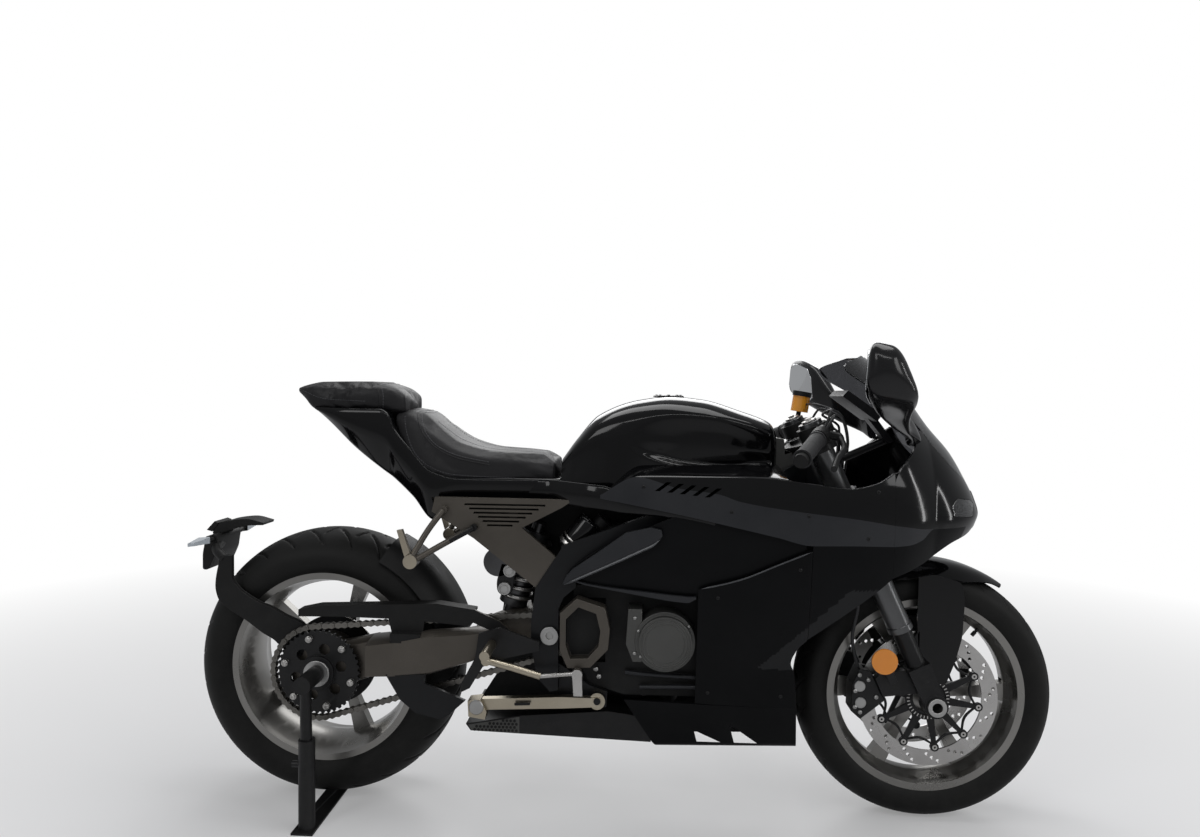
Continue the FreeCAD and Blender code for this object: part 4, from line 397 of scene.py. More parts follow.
def add_surfaces(name, parts, material=(), bands=None, closed=True):
    """An object of surfaces: doubles merged, and on closed forms the faces turned outwards.

    bands gives the number of the material of each face, one array for each surface.
    """
    counts = np.cumsum([0] + [len(points) for points, _ in parts])
    points = np.vstack([p for p, _ in parts]) * MM
    quads = np.vstack([q + start for (_, q), start in zip(parts, counts)])
    mesh = bpy.data.meshes.new(name)
    mesh.from_pydata(points.tolist(), [], quads.tolist())
    made = add_object(name, mesh, material)
    if bands is not None:
        mesh.polygons.foreach_set("material_index", np.concatenate(bands).astype(np.int32))
    work = bmesh.new()
    work.from_mesh(mesh)
    bmesh.ops.remove_doubles(work, verts=work.verts, dist=WELD)
    bmesh.ops.dissolve_degenerate(work, edges=work.edges, dist=WELD)
    if closed:
        bmesh.ops.recalc_face_normals(work, faces=work.faces)
    work.to_mesh(mesh)
    work.free()
    return made


def round_edges(made, edge, sharp):
    """Smooth shading up to an angle in degrees, and a bevel of two steps along sharper edges."""
    made.data.shade_smooth()
    made.data.set_sharp_from_angle(angle=math.radians(sharp))
    if edge:
        rim = made.modifiers.new("edge", "BEVEL")
        rim.width, rim.segments, rim.limit_method = edge * MM, 2, "ANGLE"
        rim.angle_limit, rim.use_clamp_overlap = math.radians(sharp), True


def bake(made):
    """Keeps what the modifiers give as the mesh and clears them."""
    bpy.context.view_layer.update()
    shown = made.evaluated_get(bpy.context.evaluated_depsgraph_get())
    done = bpy.data.meshes.new_from_object(shown)
    made.modifiers.clear()
    made.data = done


def piece(name, body, parts, material, replaces=(), closed=True, wall=0.0, edge=0.0,
          cuts=(), bands=None, sharp=38.0):
    """A finished object of surfaces that rides on a body, with a wall, cuts and rounded edges."""
    made = add_surfaces(name, parts, material, bands, closed)
    if wall:
        skin = made.modifiers.new("wall", "SOLIDIFY")
        skin.thickness, skin.offset, skin.use_even_offset = wall * MM, -1.0, True
    if cuts:
        carve(made, cuts)
    round_edges(made, edge, sharp)
    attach(made, body)
    if replaces:
        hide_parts(*replaces)
    return made


def carve(made, cuts):
    """Cuts closed forms out of a piece with an exact boolean and keeps the result as its mesh."""
    tool = add_surfaces("tool", cuts)
    cut = made.modifiers.new("cut", "BOOLEAN")
    cut.operation, cut.object, cut.solver = "DIFFERENCE", tool, "EXACT"
    bake(made)
    bpy.data.objects.remove(tool)


def machined(node, body, material, edge=0.8, sharp=30.0, pick=None):
    """A CAD node with its edges broken: a merged copy, its flat faces joined, with a bevel.

    pick turns the faces' centres, in millimetres, into the number of the material of each.
    """
    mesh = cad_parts[node].data.copy()
    mesh.name = node + "_finished"
    work = bmesh.new()
    work.from_mesh(mesh)
    bmesh.ops.remove_doubles(work, verts=work.verts, dist=WELD)
    bmesh.ops.dissolve_limit(work, angle_limit=math.radians(0.5), verts=work.verts,
                             edges=work.edges)
    work.to_mesh(mesh)
    work.free()
    mesh.materials.clear()
    made = add_object(mesh.name, mesh, material)
    if pick:
        centres = np.empty(3 * len(mesh.polygons))
        mesh.polygons.foreach_get("center", centres)
        mesh.polygons.foreach_set("material_index",
                                  pick(centres.reshape(-1, 3) / MM).astype(np.int32))
    round_edges(made, edge, sharp)
    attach(made, body)
    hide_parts(node)


# Finishes

def effect(name, inputs, outputs, build):
    """A shader node group: named inputs with defaults, named outputs, and what lies between."""
    if name in bpy.data.node_groups:
        return
    tree = bpy.data.node_groups.new(name, "ShaderNodeTree")
    for label, kind, default in inputs:
        socket = tree.interface.new_socket(name=label, in_out="INPUT", socket_type=kind)
        if default is not None:
            socket.default_value = default
    for label, kind in outputs:
        tree.interface.new_socket(name=label, in_out="OUTPUT", socket_type=kind)
    build(tree, tree.nodes.new("NodeGroupInput"), tree.nodes.new("NodeGroupOutput"))


def node(tree, kind, values=(), **settings):
    """A shader node with its settings, and values for its inputs by name or number."""
    made = tree.nodes.new(kind)
    for key, value in settings.items():
        setattr(made, key, value)
    for key, value in dict(values).items():
        made.inputs[key].default_value = value
    return made


def wire(tree, *links):
    """Links a row of (output, input) pairs."""
    for start, end in links:
        tree.links.new(start, end)


def ranged(tree, value, low, high, to_low, to_high):
    """A value from one range carried to another, clamped."""
    made = node(tree, "ShaderNodeMapRange", {1: low, 2: high, 3: to_low, 4: to_high})
    tree.links.new(value, made.inputs[0])
    return made.outputs[0]


def combined(tree, operation, first, second):
    """Two values multiplied, or the larger of the two, by the name of the operation."""
    made = node(tree, "ShaderNodeMath", operation=operation)
    wire(tree, (first, made.inputs[0]), (second, made.inputs[1]))
    return made.outputs[0]


def mixed(tree, mask, first, other):
    """Two colours, each a tuple or an output, mixed by a mask."""
    made = node(tree, "ShaderNodeMix", data_type="RGBA")
    for socket, value in ((made.inputs[6], first), (made.inputs[7], other)):
        if isinstance(value, tuple):
            socket.default_value = (*value, 1.0)
        else:
            tree.links.new(value, socket)
    tree.links.new(mask, made.inputs[0])
    return made.outputs[2]


def bumped(tree, height, shader, strength, distance):
    """Leads a height to the shader's normal."""
    bump = node(tree, "ShaderNodeBump", {"Strength": strength, "Distance": distance})
    wire(tree, (height, bump.inputs["Height"]), (bump.outputs[0], shader.inputs["Normal"]))


def use_effect(tree, place, label, values=()):
    """One of the shared effects at a place, with its own values."""
    made = tree.nodes.new("ShaderNodeGroup")
    made.node_tree = bpy.data.node_groups[label]
    tree.links.new(place, made.inputs["Place"])
    for key, value in dict(values).items():
        made.inputs[key].default_value = value
    return made


def fresh_material(name, values):
    """An emptied material: its tree, a Principled shader on its output, Object coordinates."""
    material = bpy.data.materials.get(name) or bpy.data.materials.new(name)
    material.use_nodes = True
    tree = material.node_tree
    tree.nodes.clear()
    shader = node(tree, "ShaderNodeBsdfPrincipled", values)
    tree.links.new(shader.outputs[0], tree.nodes.new("ShaderNodeOutputMaterial").inputs[0])
    return tree, shader, tree.nodes.new("ShaderNodeTexCoord").outputs["Object"]


def build_grain(tree, source, sink):
    """Grain: fine noise for the bump with a slow drift for colour and gloss."""
    fine = node(tree, "ShaderNodeTexNoise", {"Detail": 3.0, "Roughness": 0.6})
    slow = node(tree, "ShaderNodeTexNoise", {"Scale": 7.0, "Detail": 4.0})
    wire(tree, (source.outputs["Place"], fine.inputs["Vector"]),
         (source.outputs["Scale"], fine.inputs["Scale"]),
         (source.outputs["Place"], slow.inputs["Vector"]),
         (fine.outputs[0], sink.inputs["Height"]),
         (ranged(tree, slow.outputs[0], 0.35, 0.65, 0.0, 1.0), sink.inputs["Drift"]))


def build_wear(tree, source, sink):
    """Wear: small scuffs and specks where two noises of different size both run high."""
    wide = node(tree, "ShaderNodeTexNoise", {"Scale": 11.0, "Detail": 5.0})
    speck = node(tree, "ShaderNodeTexNoise", {"Scale": 260.0, "Detail": 2.0})
    for noise in (wide, speck):
        tree.links.new(source.outputs["Place"], noise.inputs["Vector"])
    both_high = combined(tree, "MULTIPLY", wide.outputs[0], speck.outputs[0])
    mask = combined(tree, "MULTIPLY", ranged(tree, both_high, 0.31, 0.42, 0.0, 1.0),
                    source.outputs["Amount"])
    tree.links.new(mask, sink.inputs["Mask"])


def build_dust(tree, source, sink):
    """Dust: settles low on the bike, broken up by noise; height is read from the place's Z."""
    apart = node(tree, "ShaderNodeSeparateXYZ")
    noise = node(tree, "ShaderNodeTexNoise", {"Scale": 24.0, "Detail": 6.0, "Roughness": 0.7})
    wire(tree, (source.outputs["Place"], apart.inputs[0]),
         (source.outputs["Place"], noise.inputs["Vector"]))
    low = combined(tree, "MULTIPLY", ranged(tree, apart.outputs["Z"], 0.0, 0.7, 1.0, 0.15),
                   ranged(tree, noise.outputs[0], 0.42, 0.72, 0.0, 1.0))
    tree.links.new(combined(tree, "MULTIPLY", low, source.outputs["Amount"]), sink.inputs["Mask"])


def build_rings(tree, source, sink):
    """Turning marks: fine noise read by the distance from an axle that runs along Y."""
    apart = node(tree, "ShaderNodeSeparateXYZ")
    flat = node(tree, "ShaderNodeCombineXYZ")
    far = node(tree, "ShaderNodeVectorMath", operation="LENGTH")
    noise = node(tree, "ShaderNodeTexNoise", {"Scale": 900.0, "Detail": 2.0}, noise_dimensions="1D")
    wire(tree, (source.outputs["Place"], apart.inputs[0]), (apart.outputs["X"], flat.inputs["X"]),
         (apart.outputs["Z"], flat.inputs["Z"]), (flat.outputs[0], far.inputs[0]),
         (far.outputs["Value"], noise.inputs["W"]), (noise.outputs[0], sink.inputs["Height"]))


DUST_COLOUR = (0.15, 0.142, 0.130)
# Name, colour, second colour, metal, shine, gloss from, gloss to, coat, grain scale, grain depth,
# wear, dust
FINISHES = (
    ("gloss_black", (0.0018, 0.0018, 0.0021), (0.0026, 0.0026, 0.0030), 0.0, 0.20, 0.08, 0.13, 0.12,
     900, 0.00, 0.05, 0.008),
    ("grey_panel", (0.024, 0.025, 0.028), (0.030, 0.031, 0.034), 0.45, 0.20, 0.34, 0.42, 0.08,
     1600, 0.02, 0.05, 0.02),
    # Lighter grey of the rolled panel lips: a painted highlight along the panel edges
    ("edge_grey", (0.050, 0.052, 0.056), (0.062, 0.064, 0.068), 0.50, 0.30, 0.30, 0.38, 0.10,
     1600, 0.02, 0.05, 0.02),
    ("dark_panel", (0.0028, 0.0030, 0.0034), (0.0040, 0.0042, 0.0047), 0.05, 0.09, 0.30, 0.40, 0.0,
     1600, 0.02, 0.05, 0.008),
    ("satin_black", (0.0080, 0.0083, 0.0092), (0.0100, 0.0104, 0.0114), 0.20, 0.20, 0.32, 0.40,
     0.05, 1600, 0.02, 0.05, 0.02),
    ("matte_black", (0.0060, 0.0060, 0.0060), (0.0095, 0.0095, 0.0095), 0.0, 0.20, 0.46, 0.58, 0.0,
     520, 0.22, 0.20, 0.05),
    ("black_metal", (0.0080, 0.0080, 0.0085), (0.014, 0.014, 0.0145), 0.40, 0.28, 0.34, 0.46, 0.08,
     700, 0.15, 0.25, 0.05),
    ("bronze_grey", (0.072, 0.064, 0.054), (0.092, 0.082, 0.070), 0.60, 0.30, 0.36, 0.46, 0.10,
     900, 0.08, 0.15, 0.04),
    ("radiator_black", (0.010, 0.010, 0.011), (0.018, 0.018, 0.018), 0.3, 0.25, 0.48, 0.62, 0.0,
     600, 0.15, 0.20, 0.10),
    ("tyre_rubber", (0.0062, 0.0062, 0.0060), (0.0088, 0.0088, 0.0084), 0.0, 0.16, 0.50, 0.62, 0.0,
     420, 0.12, 0.12, 0.035),
    ("cast_grey", (0.200, 0.195, 0.184), (0.235, 0.229, 0.217), 0.95, 0.50, 0.26, 0.36, 0.20,
     1100, 0.03, 0.08, 0.03),
    ("disc_steel", (0.380, 0.372, 0.362), (0.460, 0.452, 0.442), 1.0, 0.50, 0.22, 0.34, 0.0,
     900, 0.02, 0.08, 0.02),
    ("bare_steel", (0.420, 0.410, 0.395), (0.500, 0.490, 0.475), 1.0, 0.50, 0.24, 0.36, 0.0,
     800, 0.05, 0.15, 0.04),
    ("alloy", (0.330, 0.328, 0.322), (0.430, 0.428, 0.420), 1.0, 0.50, 0.32, 0.44, 0.0,
     900, 0.08, 0.12, 0.04),
    ("dark_alloy", (0.064, 0.064, 0.061), (0.084, 0.084, 0.080), 0.70, 0.35, 0.36, 0.46, 0.10,
     700, 0.14, 0.20, 0.04),
    ("fork_grey", (0.085, 0.086, 0.088), (0.105, 0.106, 0.108), 0.85, 0.40, 0.24, 0.32, 0.15,
     1400, 0.02, 0.05, 0.02),
    ("chain_steel", (0.105, 0.100, 0.092), (0.180, 0.172, 0.158), 1.0, 0.50, 0.32, 0.46, 0.0,
     700, 0.10, 0.20, 0.06),
    ("champagne_leg", (0.360, 0.320, 0.250), (0.430, 0.385, 0.305), 1.0, 0.50, 0.28, 0.38, 0.0,
     900, 0.04, 0.12, 0.04),
    ("seat_cover", (0.0090, 0.0088, 0.0096), (0.0125, 0.0122, 0.0132), 0.0, 0.22, 0.40, 0.52, 0.0,
     900, 0.40, 0.08, 0.03),
    ("seat_thread", (0.070, 0.070, 0.076), (0.095, 0.095, 0.102), 0.0, 0.30, 0.55, 0.68, 0.0,
     2400, 0.30, 0.00, 0.02),
    ("mirror_shell", (0.0040, 0.0040, 0.0046), (0.0060, 0.0060, 0.0068), 0.0, 0.24, 0.16, 0.24,
     0.15, 900, 0.01, 0.05, 0.02),
    ("orange_lens", (0.640, 0.205, 0.010), (0.740, 0.260, 0.016), 0.0, 0.50, 0.14, 0.20, 0.5,
     900, 0.02, 0.03, 0.01),
    ("amber_fluid", (0.640, 0.230, 0.012), (0.760, 0.310, 0.025), 0.0, 0.50, 0.10, 0.16, 0.5,
     500, 0.02, 0.03, 0.01),
    ("red_lens", (0.240, 0.006, 0.005), (0.320, 0.010, 0.008), 0.0, 0.50, 0.10, 0.16, 0.5,
     900, 0.02, 0.03, 0.01),
    ("pale_lens", (0.420, 0.460, 0.500), (0.500, 0.540, 0.580), 0.0, 0.50, 0.08, 0.14, 0.5,
     900, 0.02, 0.03, 0.01),
    ("lamp_cluster", (0.006, 0.006, 0.007), (0.010, 0.010, 0.011), 0.0, 0.12, 0.34, 0.44, 0.05,
     900, 0.02, 0.05, 0.02),
    ("shock_mix", (0.060, 0.060, 0.062), (0.090, 0.090, 0.093), 0.9, 0.40, 0.30, 0.40, 0.1,
     900, 0.04, 0.15, 0.05),
    ("mirror_glass", (0.750, 0.760, 0.770), (0.780, 0.790, 0.800), 1.0, 0.50, 0.02, 0.04, 0.0,
     900, 0.00, 0.02, 0.01),
    ("braided_hose", (0.014, 0.014, 0.015), (0.034, 0.034, 0.036), 0.2, 0.30, 0.38, 0.48, 0.0,
     1800, 0.50, 0.10, 0.05),
    ("grip_rubber", (0.020, 0.020, 0.021), (0.028, 0.028, 0.029), 0.0, 0.25, 0.52, 0.64, 0.0,
     1200, 0.30, 0.10, 0.05),
)


def make_finish(row):
    """A painted, cast, machined or rubber finish from one row of the table."""
    (name, colour, second, metal, shine, gloss_from, gloss_to, coat, grain_scale, grain_depth, wear,
     dust) = row
    tree, shader, place = fresh_material(name, {
        "Metallic": metal, "Specular IOR Level": shine, "Coat Weight": coat,
        "Coat Roughness": 0.04})
    grain = use_effect(tree, place, "grain", {"Scale": float(grain_scale)})
    scuffs = use_effect(tree, place, "wear", {"Amount": wear}).outputs["Mask"]
    settled = use_effect(tree, place, "dust", {"Amount": dust}).outputs["Mask"]
    worn = tuple(min(1.0, c * 1.6 + 0.012) for c in colour)
    shade = mixed(tree, scuffs, mixed(tree, grain.outputs["Drift"], colour, second), worn)
    tree.links.new(mixed(tree, settled, shade, DUST_COLOUR), shader.inputs["Base Color"])
    gloss = node(tree, "ShaderNodeMath", {1: 0.25}, operation="MULTIPLY_ADD")
    dulled = node(tree, "ShaderNodeMath", {1: 0.3}, operation="MULTIPLY_ADD", use_clamp=True)
    wire(tree, (scuffs, gloss.inputs[0]), (settled, dulled.inputs[0]),
         (ranged(tree, grain.outputs["Drift"], 0.0, 1.0, gloss_from, gloss_to), gloss.inputs[2]),
         (gloss.outputs[0], dulled.inputs[2]), (dulled.outputs[0], shader.inputs["Roughness"]))
    height = grain.outputs["Height"]
    if name in ("disc_steel", "alloy"):
        move = node(tree, "ShaderNodeMapping", {"Location": tuple(-FRONT_AXLE * MM)})
        tree.links.new(place, move.inputs[0])
        height = use_effect(tree, move.outputs[0], "rings").outputs["Height"]
        grain_depth = 0.25
    if grain_depth:
        bumped(tree, height, shader, grain_depth, 0.0006)


def make_glass(name, colour, tint, roughness):
    """Moulded transparent plastic: clear through its thickness, tinted, with a faint ripple."""
    tree, shader, place = fresh_material(name, {
        "Roughness": roughness, "IOR": 1.49, "Transmission Weight": 1.0, "Coat Weight": 0.3})
    ripple = use_effect(tree, place, "grain", {"Scale": 60.0})
    tree.links.new(mixed(tree, ripple.outputs["Drift"], colour, tint),
                   shader.inputs["Base Color"])
    bumped(tree, ripple.outputs["Height"], shader, 0.03, 0.0005)


# Fairing surfaces

def fairing_half(x, z):
    """Half-width of the fairing: plan(x) * fall(z), rounded by sqrt(1 - (1 - depth)^2.2)."""
    half = smooth(PLAN, x) * smooth(FALL, z)
    depth = np.clip((smooth(NOSE, z) - x) / NOSE_ROUND, 0.0, 1.0)
    return half * np.sqrt(np.maximum(1 - (1 - depth) ** 2.2, 0.0))


def skin(x, z, side, sunk=0.0):
    """The fairing's surface over arrays of X and Z, set in by a distance."""
    x, z = np.broadcast_arrays(x, z)
    return sheet(x, side * (fairing_half(x, z) - sunk), z, (0, side, 0))


def band_of(x_places, low, high, rows, side, sunk=0.0):
    """Strip of the fairing between two lines Z = low(x) and Z = high(x)."""
    x = x_places[:, None]
    low, high = smooth(low, x), smooth(high, x)
    return skin(x, blend(low, np.maximum(high, low + 0.6), spread_v(0, 1, rows)), side, sunk)


def front_band(at):
    """Whether places lie on the turned-in band along the front edge, from the keel to the wing."""
    return (at[:, 0] > 331 + 1.015 * (at[:, 2] - 411)) & (at[:, 2] > 396) & (at[:, 2] < 586)


def side_panel(side):
    """Side panel: grey stripe, gloss band above it and a darker wing down ahead of the engine."""
    places = spread(-36, 598, 150)
    stripe = band_of(places, SIDE_LOW, STRIPE_TOP, 12, side)
    gloss = band_of(places, STRIPE_TOP, SIDE_TOP, 12, side)
    x = spread_u(423.5, 598, 42)
    wing = skin(x, blend(smooth(CHIN, x), smooth(SIDE_LOW, x), spread_v(0, 1, 26)), side)
    middle = wing[0][wing[1]].mean(1)
    edge = np.where(front_band(middle), 3, 2)
    bands = [np.full(len(stripe[1]), 1), np.full(len(gloss[1]), 0), edge]
    vent = np.array([(0, 0), (11, 0), (37, 20), (26, 20)])
    vents = [prism(vent + (84.0 + 27.0 * k, 792.0 - 2.5 * k), side * 150, side * 260)
             for k in range(5)]
    return [stripe, gloss, wing], bands, vents


def nose_parts():
    """Nose shell, and the finish of each face: both sides back to the cockpit, then the front.

    The rows of the lower part follow the stripe's two edges, so the colours part on clean lines.
    """
    s = spread_u(0, 1, 60)
    along = 1 - (1 - s) ** 1.6
    rows = np.array(NOSE_STRIPE)
    jaw = smooth(JAW, s)
    low = np.maximum(smooth(rows[:, (0, 1)], s), jaw + 1)
    high = np.maximum(smooth(rows[:, (0, 2)], s), low + 1)
    z = np.concatenate([blend(jaw, low, spread_v(0, 1, 7)),
                        blend(low, high, spread_v(0, 1, 8))[:, 1:],
                        blend(high, SCREEN_FOOT, spread_v(0, 1, 9))[:, 1:]], 1)
    tone = np.repeat((2, 1, 0), (6, 7, 8))[None, :] + np.zeros((59, 1), int)
    ended = ((tone == 2) & (s[:-1] > 0.60)) | ((tone == 1) & (s[:-1] > 0.27))
    tone = np.where(ended, 0, tone)
    x = blend(PANEL_END, smooth(NOSE, z) - NOSE_ROLL, along)
    rise = spread_v(SCREEN_FOOT, COCKPIT_TOP, 30)
    meet = ((smooth(NOSE, SCREEN_FOOT) - NOSE_ROLL - SCREEN_EDGE[0][1] + 1)
            * (1 - ease(0, 22, rise - SCREEN_FOOT)))
    x_high = blend(smooth(COCKPIT, rise), smooth(SCREEN_EDGE, rise) - 1.0 + meet, along)
    parts, bands = [], []
    for side in SIDES:
        parts += [skin(x, z, side), skin(x_high, rise, side)]
        bands += [tone.ravel(), np.zeros(59 * 29, int)]
    level = spread_v(706, SCREEN_FOOT, 22)
    behind = smooth(NOSE, level) - NOSE_ROLL
    turn = spread_u(-math.pi / 2, math.pi / 2, 25)
    parts.append(sheet(behind + NOSE_ROLL * np.cos(turn),
                       np.sin(turn) * fairing_half(behind, level), level, (1, 0, 0)))
    bands.append(np.zeros(24 * 21, int))
    return parts, bands


def belt_part(side):
    """Belt from the tail forward under the stripe: y = half(x), crowned by 6 mm in its height."""
    x, share = spread_u(-240, 216, 90), spread_v(0, 1, 9)
    half, low, high = columns(BELT, x)
    y = half + 6.0 * (4 * share * (1 - share)) - 6.0
    return sheet(x, side * y, blend(low, high, share), (0, side, 0))


def screen_parts():
    """Windscreen: levels Z from the nose up, each carried from one side edge round to the other."""
    z = spread_v(SCREEN_FOOT + 0.5, 1099, 64)
    turn = spread_u(-math.pi / 2, math.pi / 2, 81)
    x = blend(smooth(SCREEN_EDGE, z), smooth(NOSE, z), np.cos(turn) ** 0.9)
    return [sheet(x, np.sign(turn) * fairing_half(x, z), z, (1, 0, 0.4))]


def on_fairing(outline, centre, side, lift, count=10):
    """Patch of the fairing in an outline: P(a, v) = centre + v (outline(a) - centre), lifted."""
    ring = np.vstack([outline, outline[:1]]).astype(float)
    steps = spread(0, len(outline), 8 * len(outline) + 1)[:-1]
    k = np.minimum(steps.astype(int), len(outline) - 1)
    edge = blend(ring[k], ring[k + 1], (steps - k)[:, None])
    v = spread(0.0, 1.0, count)[None, :, None]
    flat = centre + v * (edge[:, None] - centre)
    x, z = flat[..., 0], flat[..., 1]
    y = side * (fairing_half(x, z) + lift)
    points, quads = grid(np.stack([x, y, z], -1), close_u=True)
    out = np.cross(points[quads[:, 2]] - points[quads[:, 0]],
                   points[quads[:, 3]] - points[quads[:, 1]])
    return points, quads[:, ::-1] if out[:, 1].sum() * side < 0 else quads


def tank_part():
    """Tank: superellipse top over pulled-in sides, with a hollow for each knee."""
    front = 330 + 38 * np.sin(spread(0, 90, 19)[1:] * math.pi / 180)
    x = np.concatenate([spread(-133, 330, 190), front])[:, None]
    top, shoulder, half, waist, low = columns(TANK, x)
    turn = spread_v(0, math.pi / 2, 40)
    lower = spread_v(0, 1, 44)[:, :-1]
    y = np.concatenate([blend(waist, half, ease(0, 1, lower)), half * np.cos(turn) ** 0.62], 1)
    z = np.concatenate([blend(low, shoulder, lower),
                        blend(shoulder, top, np.sin(turn) ** 0.62)], 1)
    x = x + 0 * y
    lean = math.radians(HOLLOW_LEAN)
    ahead, above = x - HOLLOW[0], z - HOLLOW[1]
    u = (ahead * math.cos(lean) + above * math.sin(lean)) / HOLLOW_REACH[0]
    w = (-ahead * math.sin(lean) + above * math.cos(lean)) / HOLLOW_REACH[1]
    reach = (np.abs(u) ** 2.4 + np.abs(w) ** 2.4) ** (1 / 2.4)
    start = 0.34 + 0.42 * ease(0.1, 0.7, -w)
    y = y - np.minimum(HOLLOW_DEPTH, 0.8 * y) * (1 - ease(start, 1.02, reach)) * ease(20, 80, y)
    return capped(np.concatenate([np.stack([x, -y, z], -1),
                                  np.stack([x, y, z], -1)[:, ::-1][:, 1:]], 1))


def tank_ledge(side):
    """Shoulder between the side panel's top edge and the tank: y = side (out + (in - out) share).

    It rises inwards by 22 share^0.8 mm, and its foot runs along the panel's edge.
    """
    x, share = spread_u(-34, 372, 120), spread_v(0, 1, 12)
    edge = smooth(SIDE_TOP, x)
    outer, inner = fairing_half(x, edge) - 2.0, smooth([(r[0], r[3] - 4) for r in TANK], x)
    rise = 22 * ease(-36, 60, x)
    return sheet(x, side * blend(outer, inner, share),
                 edge - 1.0 + rise * share ** 0.8, (0, 0, 1))


def cockpit_rim(side):
    """Flange turned in along the cockpit's edge: 13 mm across, from the panel to the nose."""
    x, z = spread(345, 596, 60), spread(842, 926, 30)
    path_x = np.concatenate([x, smooth(COCKPIT, z)])[:, None]
    path_z = np.concatenate([smooth(SIDE_TOP, x), z])[:, None]
    across = spread_v(0, 13, 4)
    y = fairing_half(path_x, path_z) + 0.4 - across
    return sheet(path_x, side * y, path_z + 0.6 - 0.01 * across ** 2, (0, 0, 1))


def hanger_parts():
    """Number plate's hanger: a curved arm that steps in beside the wheel, its neck, head and cap.

    Each blade is the box between two lines; the arm moves in by 11 mm from X = -850 to -815.
    """
    def blade(rows, others, y_from, y_to, step):
        low, high = curve(rows, 44), curve(others, 44)
        across = [y + step * ease(-850, -815, line[:, 0])
                  for line, y in ((low, y_from), (high, y_from), (high, y_to), (low, y_to))]
        ring = np.stack([np.stack([line[:, 0], y, line[:, 1]], -1)
                         for line, y in zip((low, high, high, low), across)], 1)
        return capped(ring), high

    arm, high = blade(HANGER_LOW, HANGER_HIGH, -104.5, -117.0, 11.0)
    bead = np.stack([high[:, 0], -111 + 11 * ease(-850, -815, high[:, 0]), high[:, 1] + 1.0], -1)
    neck = swept(curve([(-936, -110, 598), (-958, -98, 610), (-985, -60, 616), (-1002, 0, 620)],
                       30), circle(11.0, 20))
    head = prism(rounded_ring([(-1014, 642), (-1022, 600), (-1022, 560), (-1008, 560),
                               (-990, 600), (-984, 640), (-992, 650)], 6, 4), -58, 58)
    cap, _ = blade(((-1010, 640), (-990, 646), (-966, 654), (-925, 666), (-884, 668)),
                   ((-1012, 648), (-1004, 664), (-970, 678), (-925, 683), (-882, 674)),
                   -30, 30, 0.0)
    return [arm, swept(bead, circle(2.2, 8)), neck, head, cap]


def tail_part():
    """Tail: rounded six-sided sections that rise and narrow to the rear."""
    x = spread(-732, -136, 120)
    half, low, high, low_half = columns(TAIL, x)
    middle = low + 0.55 * (high - low)
    rings = []
    for k, place in enumerate(x):
        corners = [(0, low[k]), (low_half[k], low[k]), (half[k], middle[k]), (half[k], high[k]),
                   (0, high[k])]
        line = filleted(corners, 12.0 if k else 8.0, 6)
        ring = np.vstack([line, line[::-1][1:-1] * (-1, 1)])
        rings.append(np.stack([np.full(len(ring), place), ring[:, 0], ring[:, 1]], -1))
    return capped(np.array(rings))


def cushion_part(table, shrink):
    """Cushion before it is blown up: flat underside, superellipse section, rounded ends."""
    first, last = min(r[0] for r in table), max(r[0] for r in table)
    s = spread(-1, 1, 44)
    x = (first + last) / 2 + (last - first) / 2 * (1 - shrink) * np.sin(s * math.pi / 2)
    half, low, high = columns(table, x)
    turn = spread_v(0, 2 * math.pi, 41)[:, :-1]
    half, low, high = (a[:, None] for a in (half * (1 - shrink), low, high))
    y = half * bulged(np.cos(turn), 0.36)
    z = (low + high) / 2 + (high - low) / 2 * (1 - shrink) * bulged(np.sin(turn), 0.36)
    return capped(np.stack([x[:, None] + 0 * y, y, z], -1))


def mirror_part():
    """Mirror housing: rounded four-sided sections across the bike, running into its broad stalk."""
    y = 150 + 280 * (1 - (1 - spread(0, 1, 60)) ** 1.25)
    ux, uz, fx, fz, gx, gz, lx, lz = (a[:, None] for a in columns(MIRROR, y))
    turn = spread_v(0, 2 * math.pi, 37)[:, :-1]
    inward = np.clip((430.5 - y) / 26, 0, 1)
    pull = np.sqrt(inward * (2 - inward))[:, None]
    p, q = ((1 + bulged(wave, 0.5) * pull) / 2 for wave in (np.cos(turn), np.sin(turn)))
    x = (1 - p) * (1 - q) * lx + p * (1 - q) * gx + (1 - p) * q * ux + p * q * fx
    z = (1 - p) * (1 - q) * lz + p * (1 - q) * gz + (1 - p) * q * uz + p * q * fz
    return capped(np.stack([x, y[:, None] + 0 * x, z], -1))


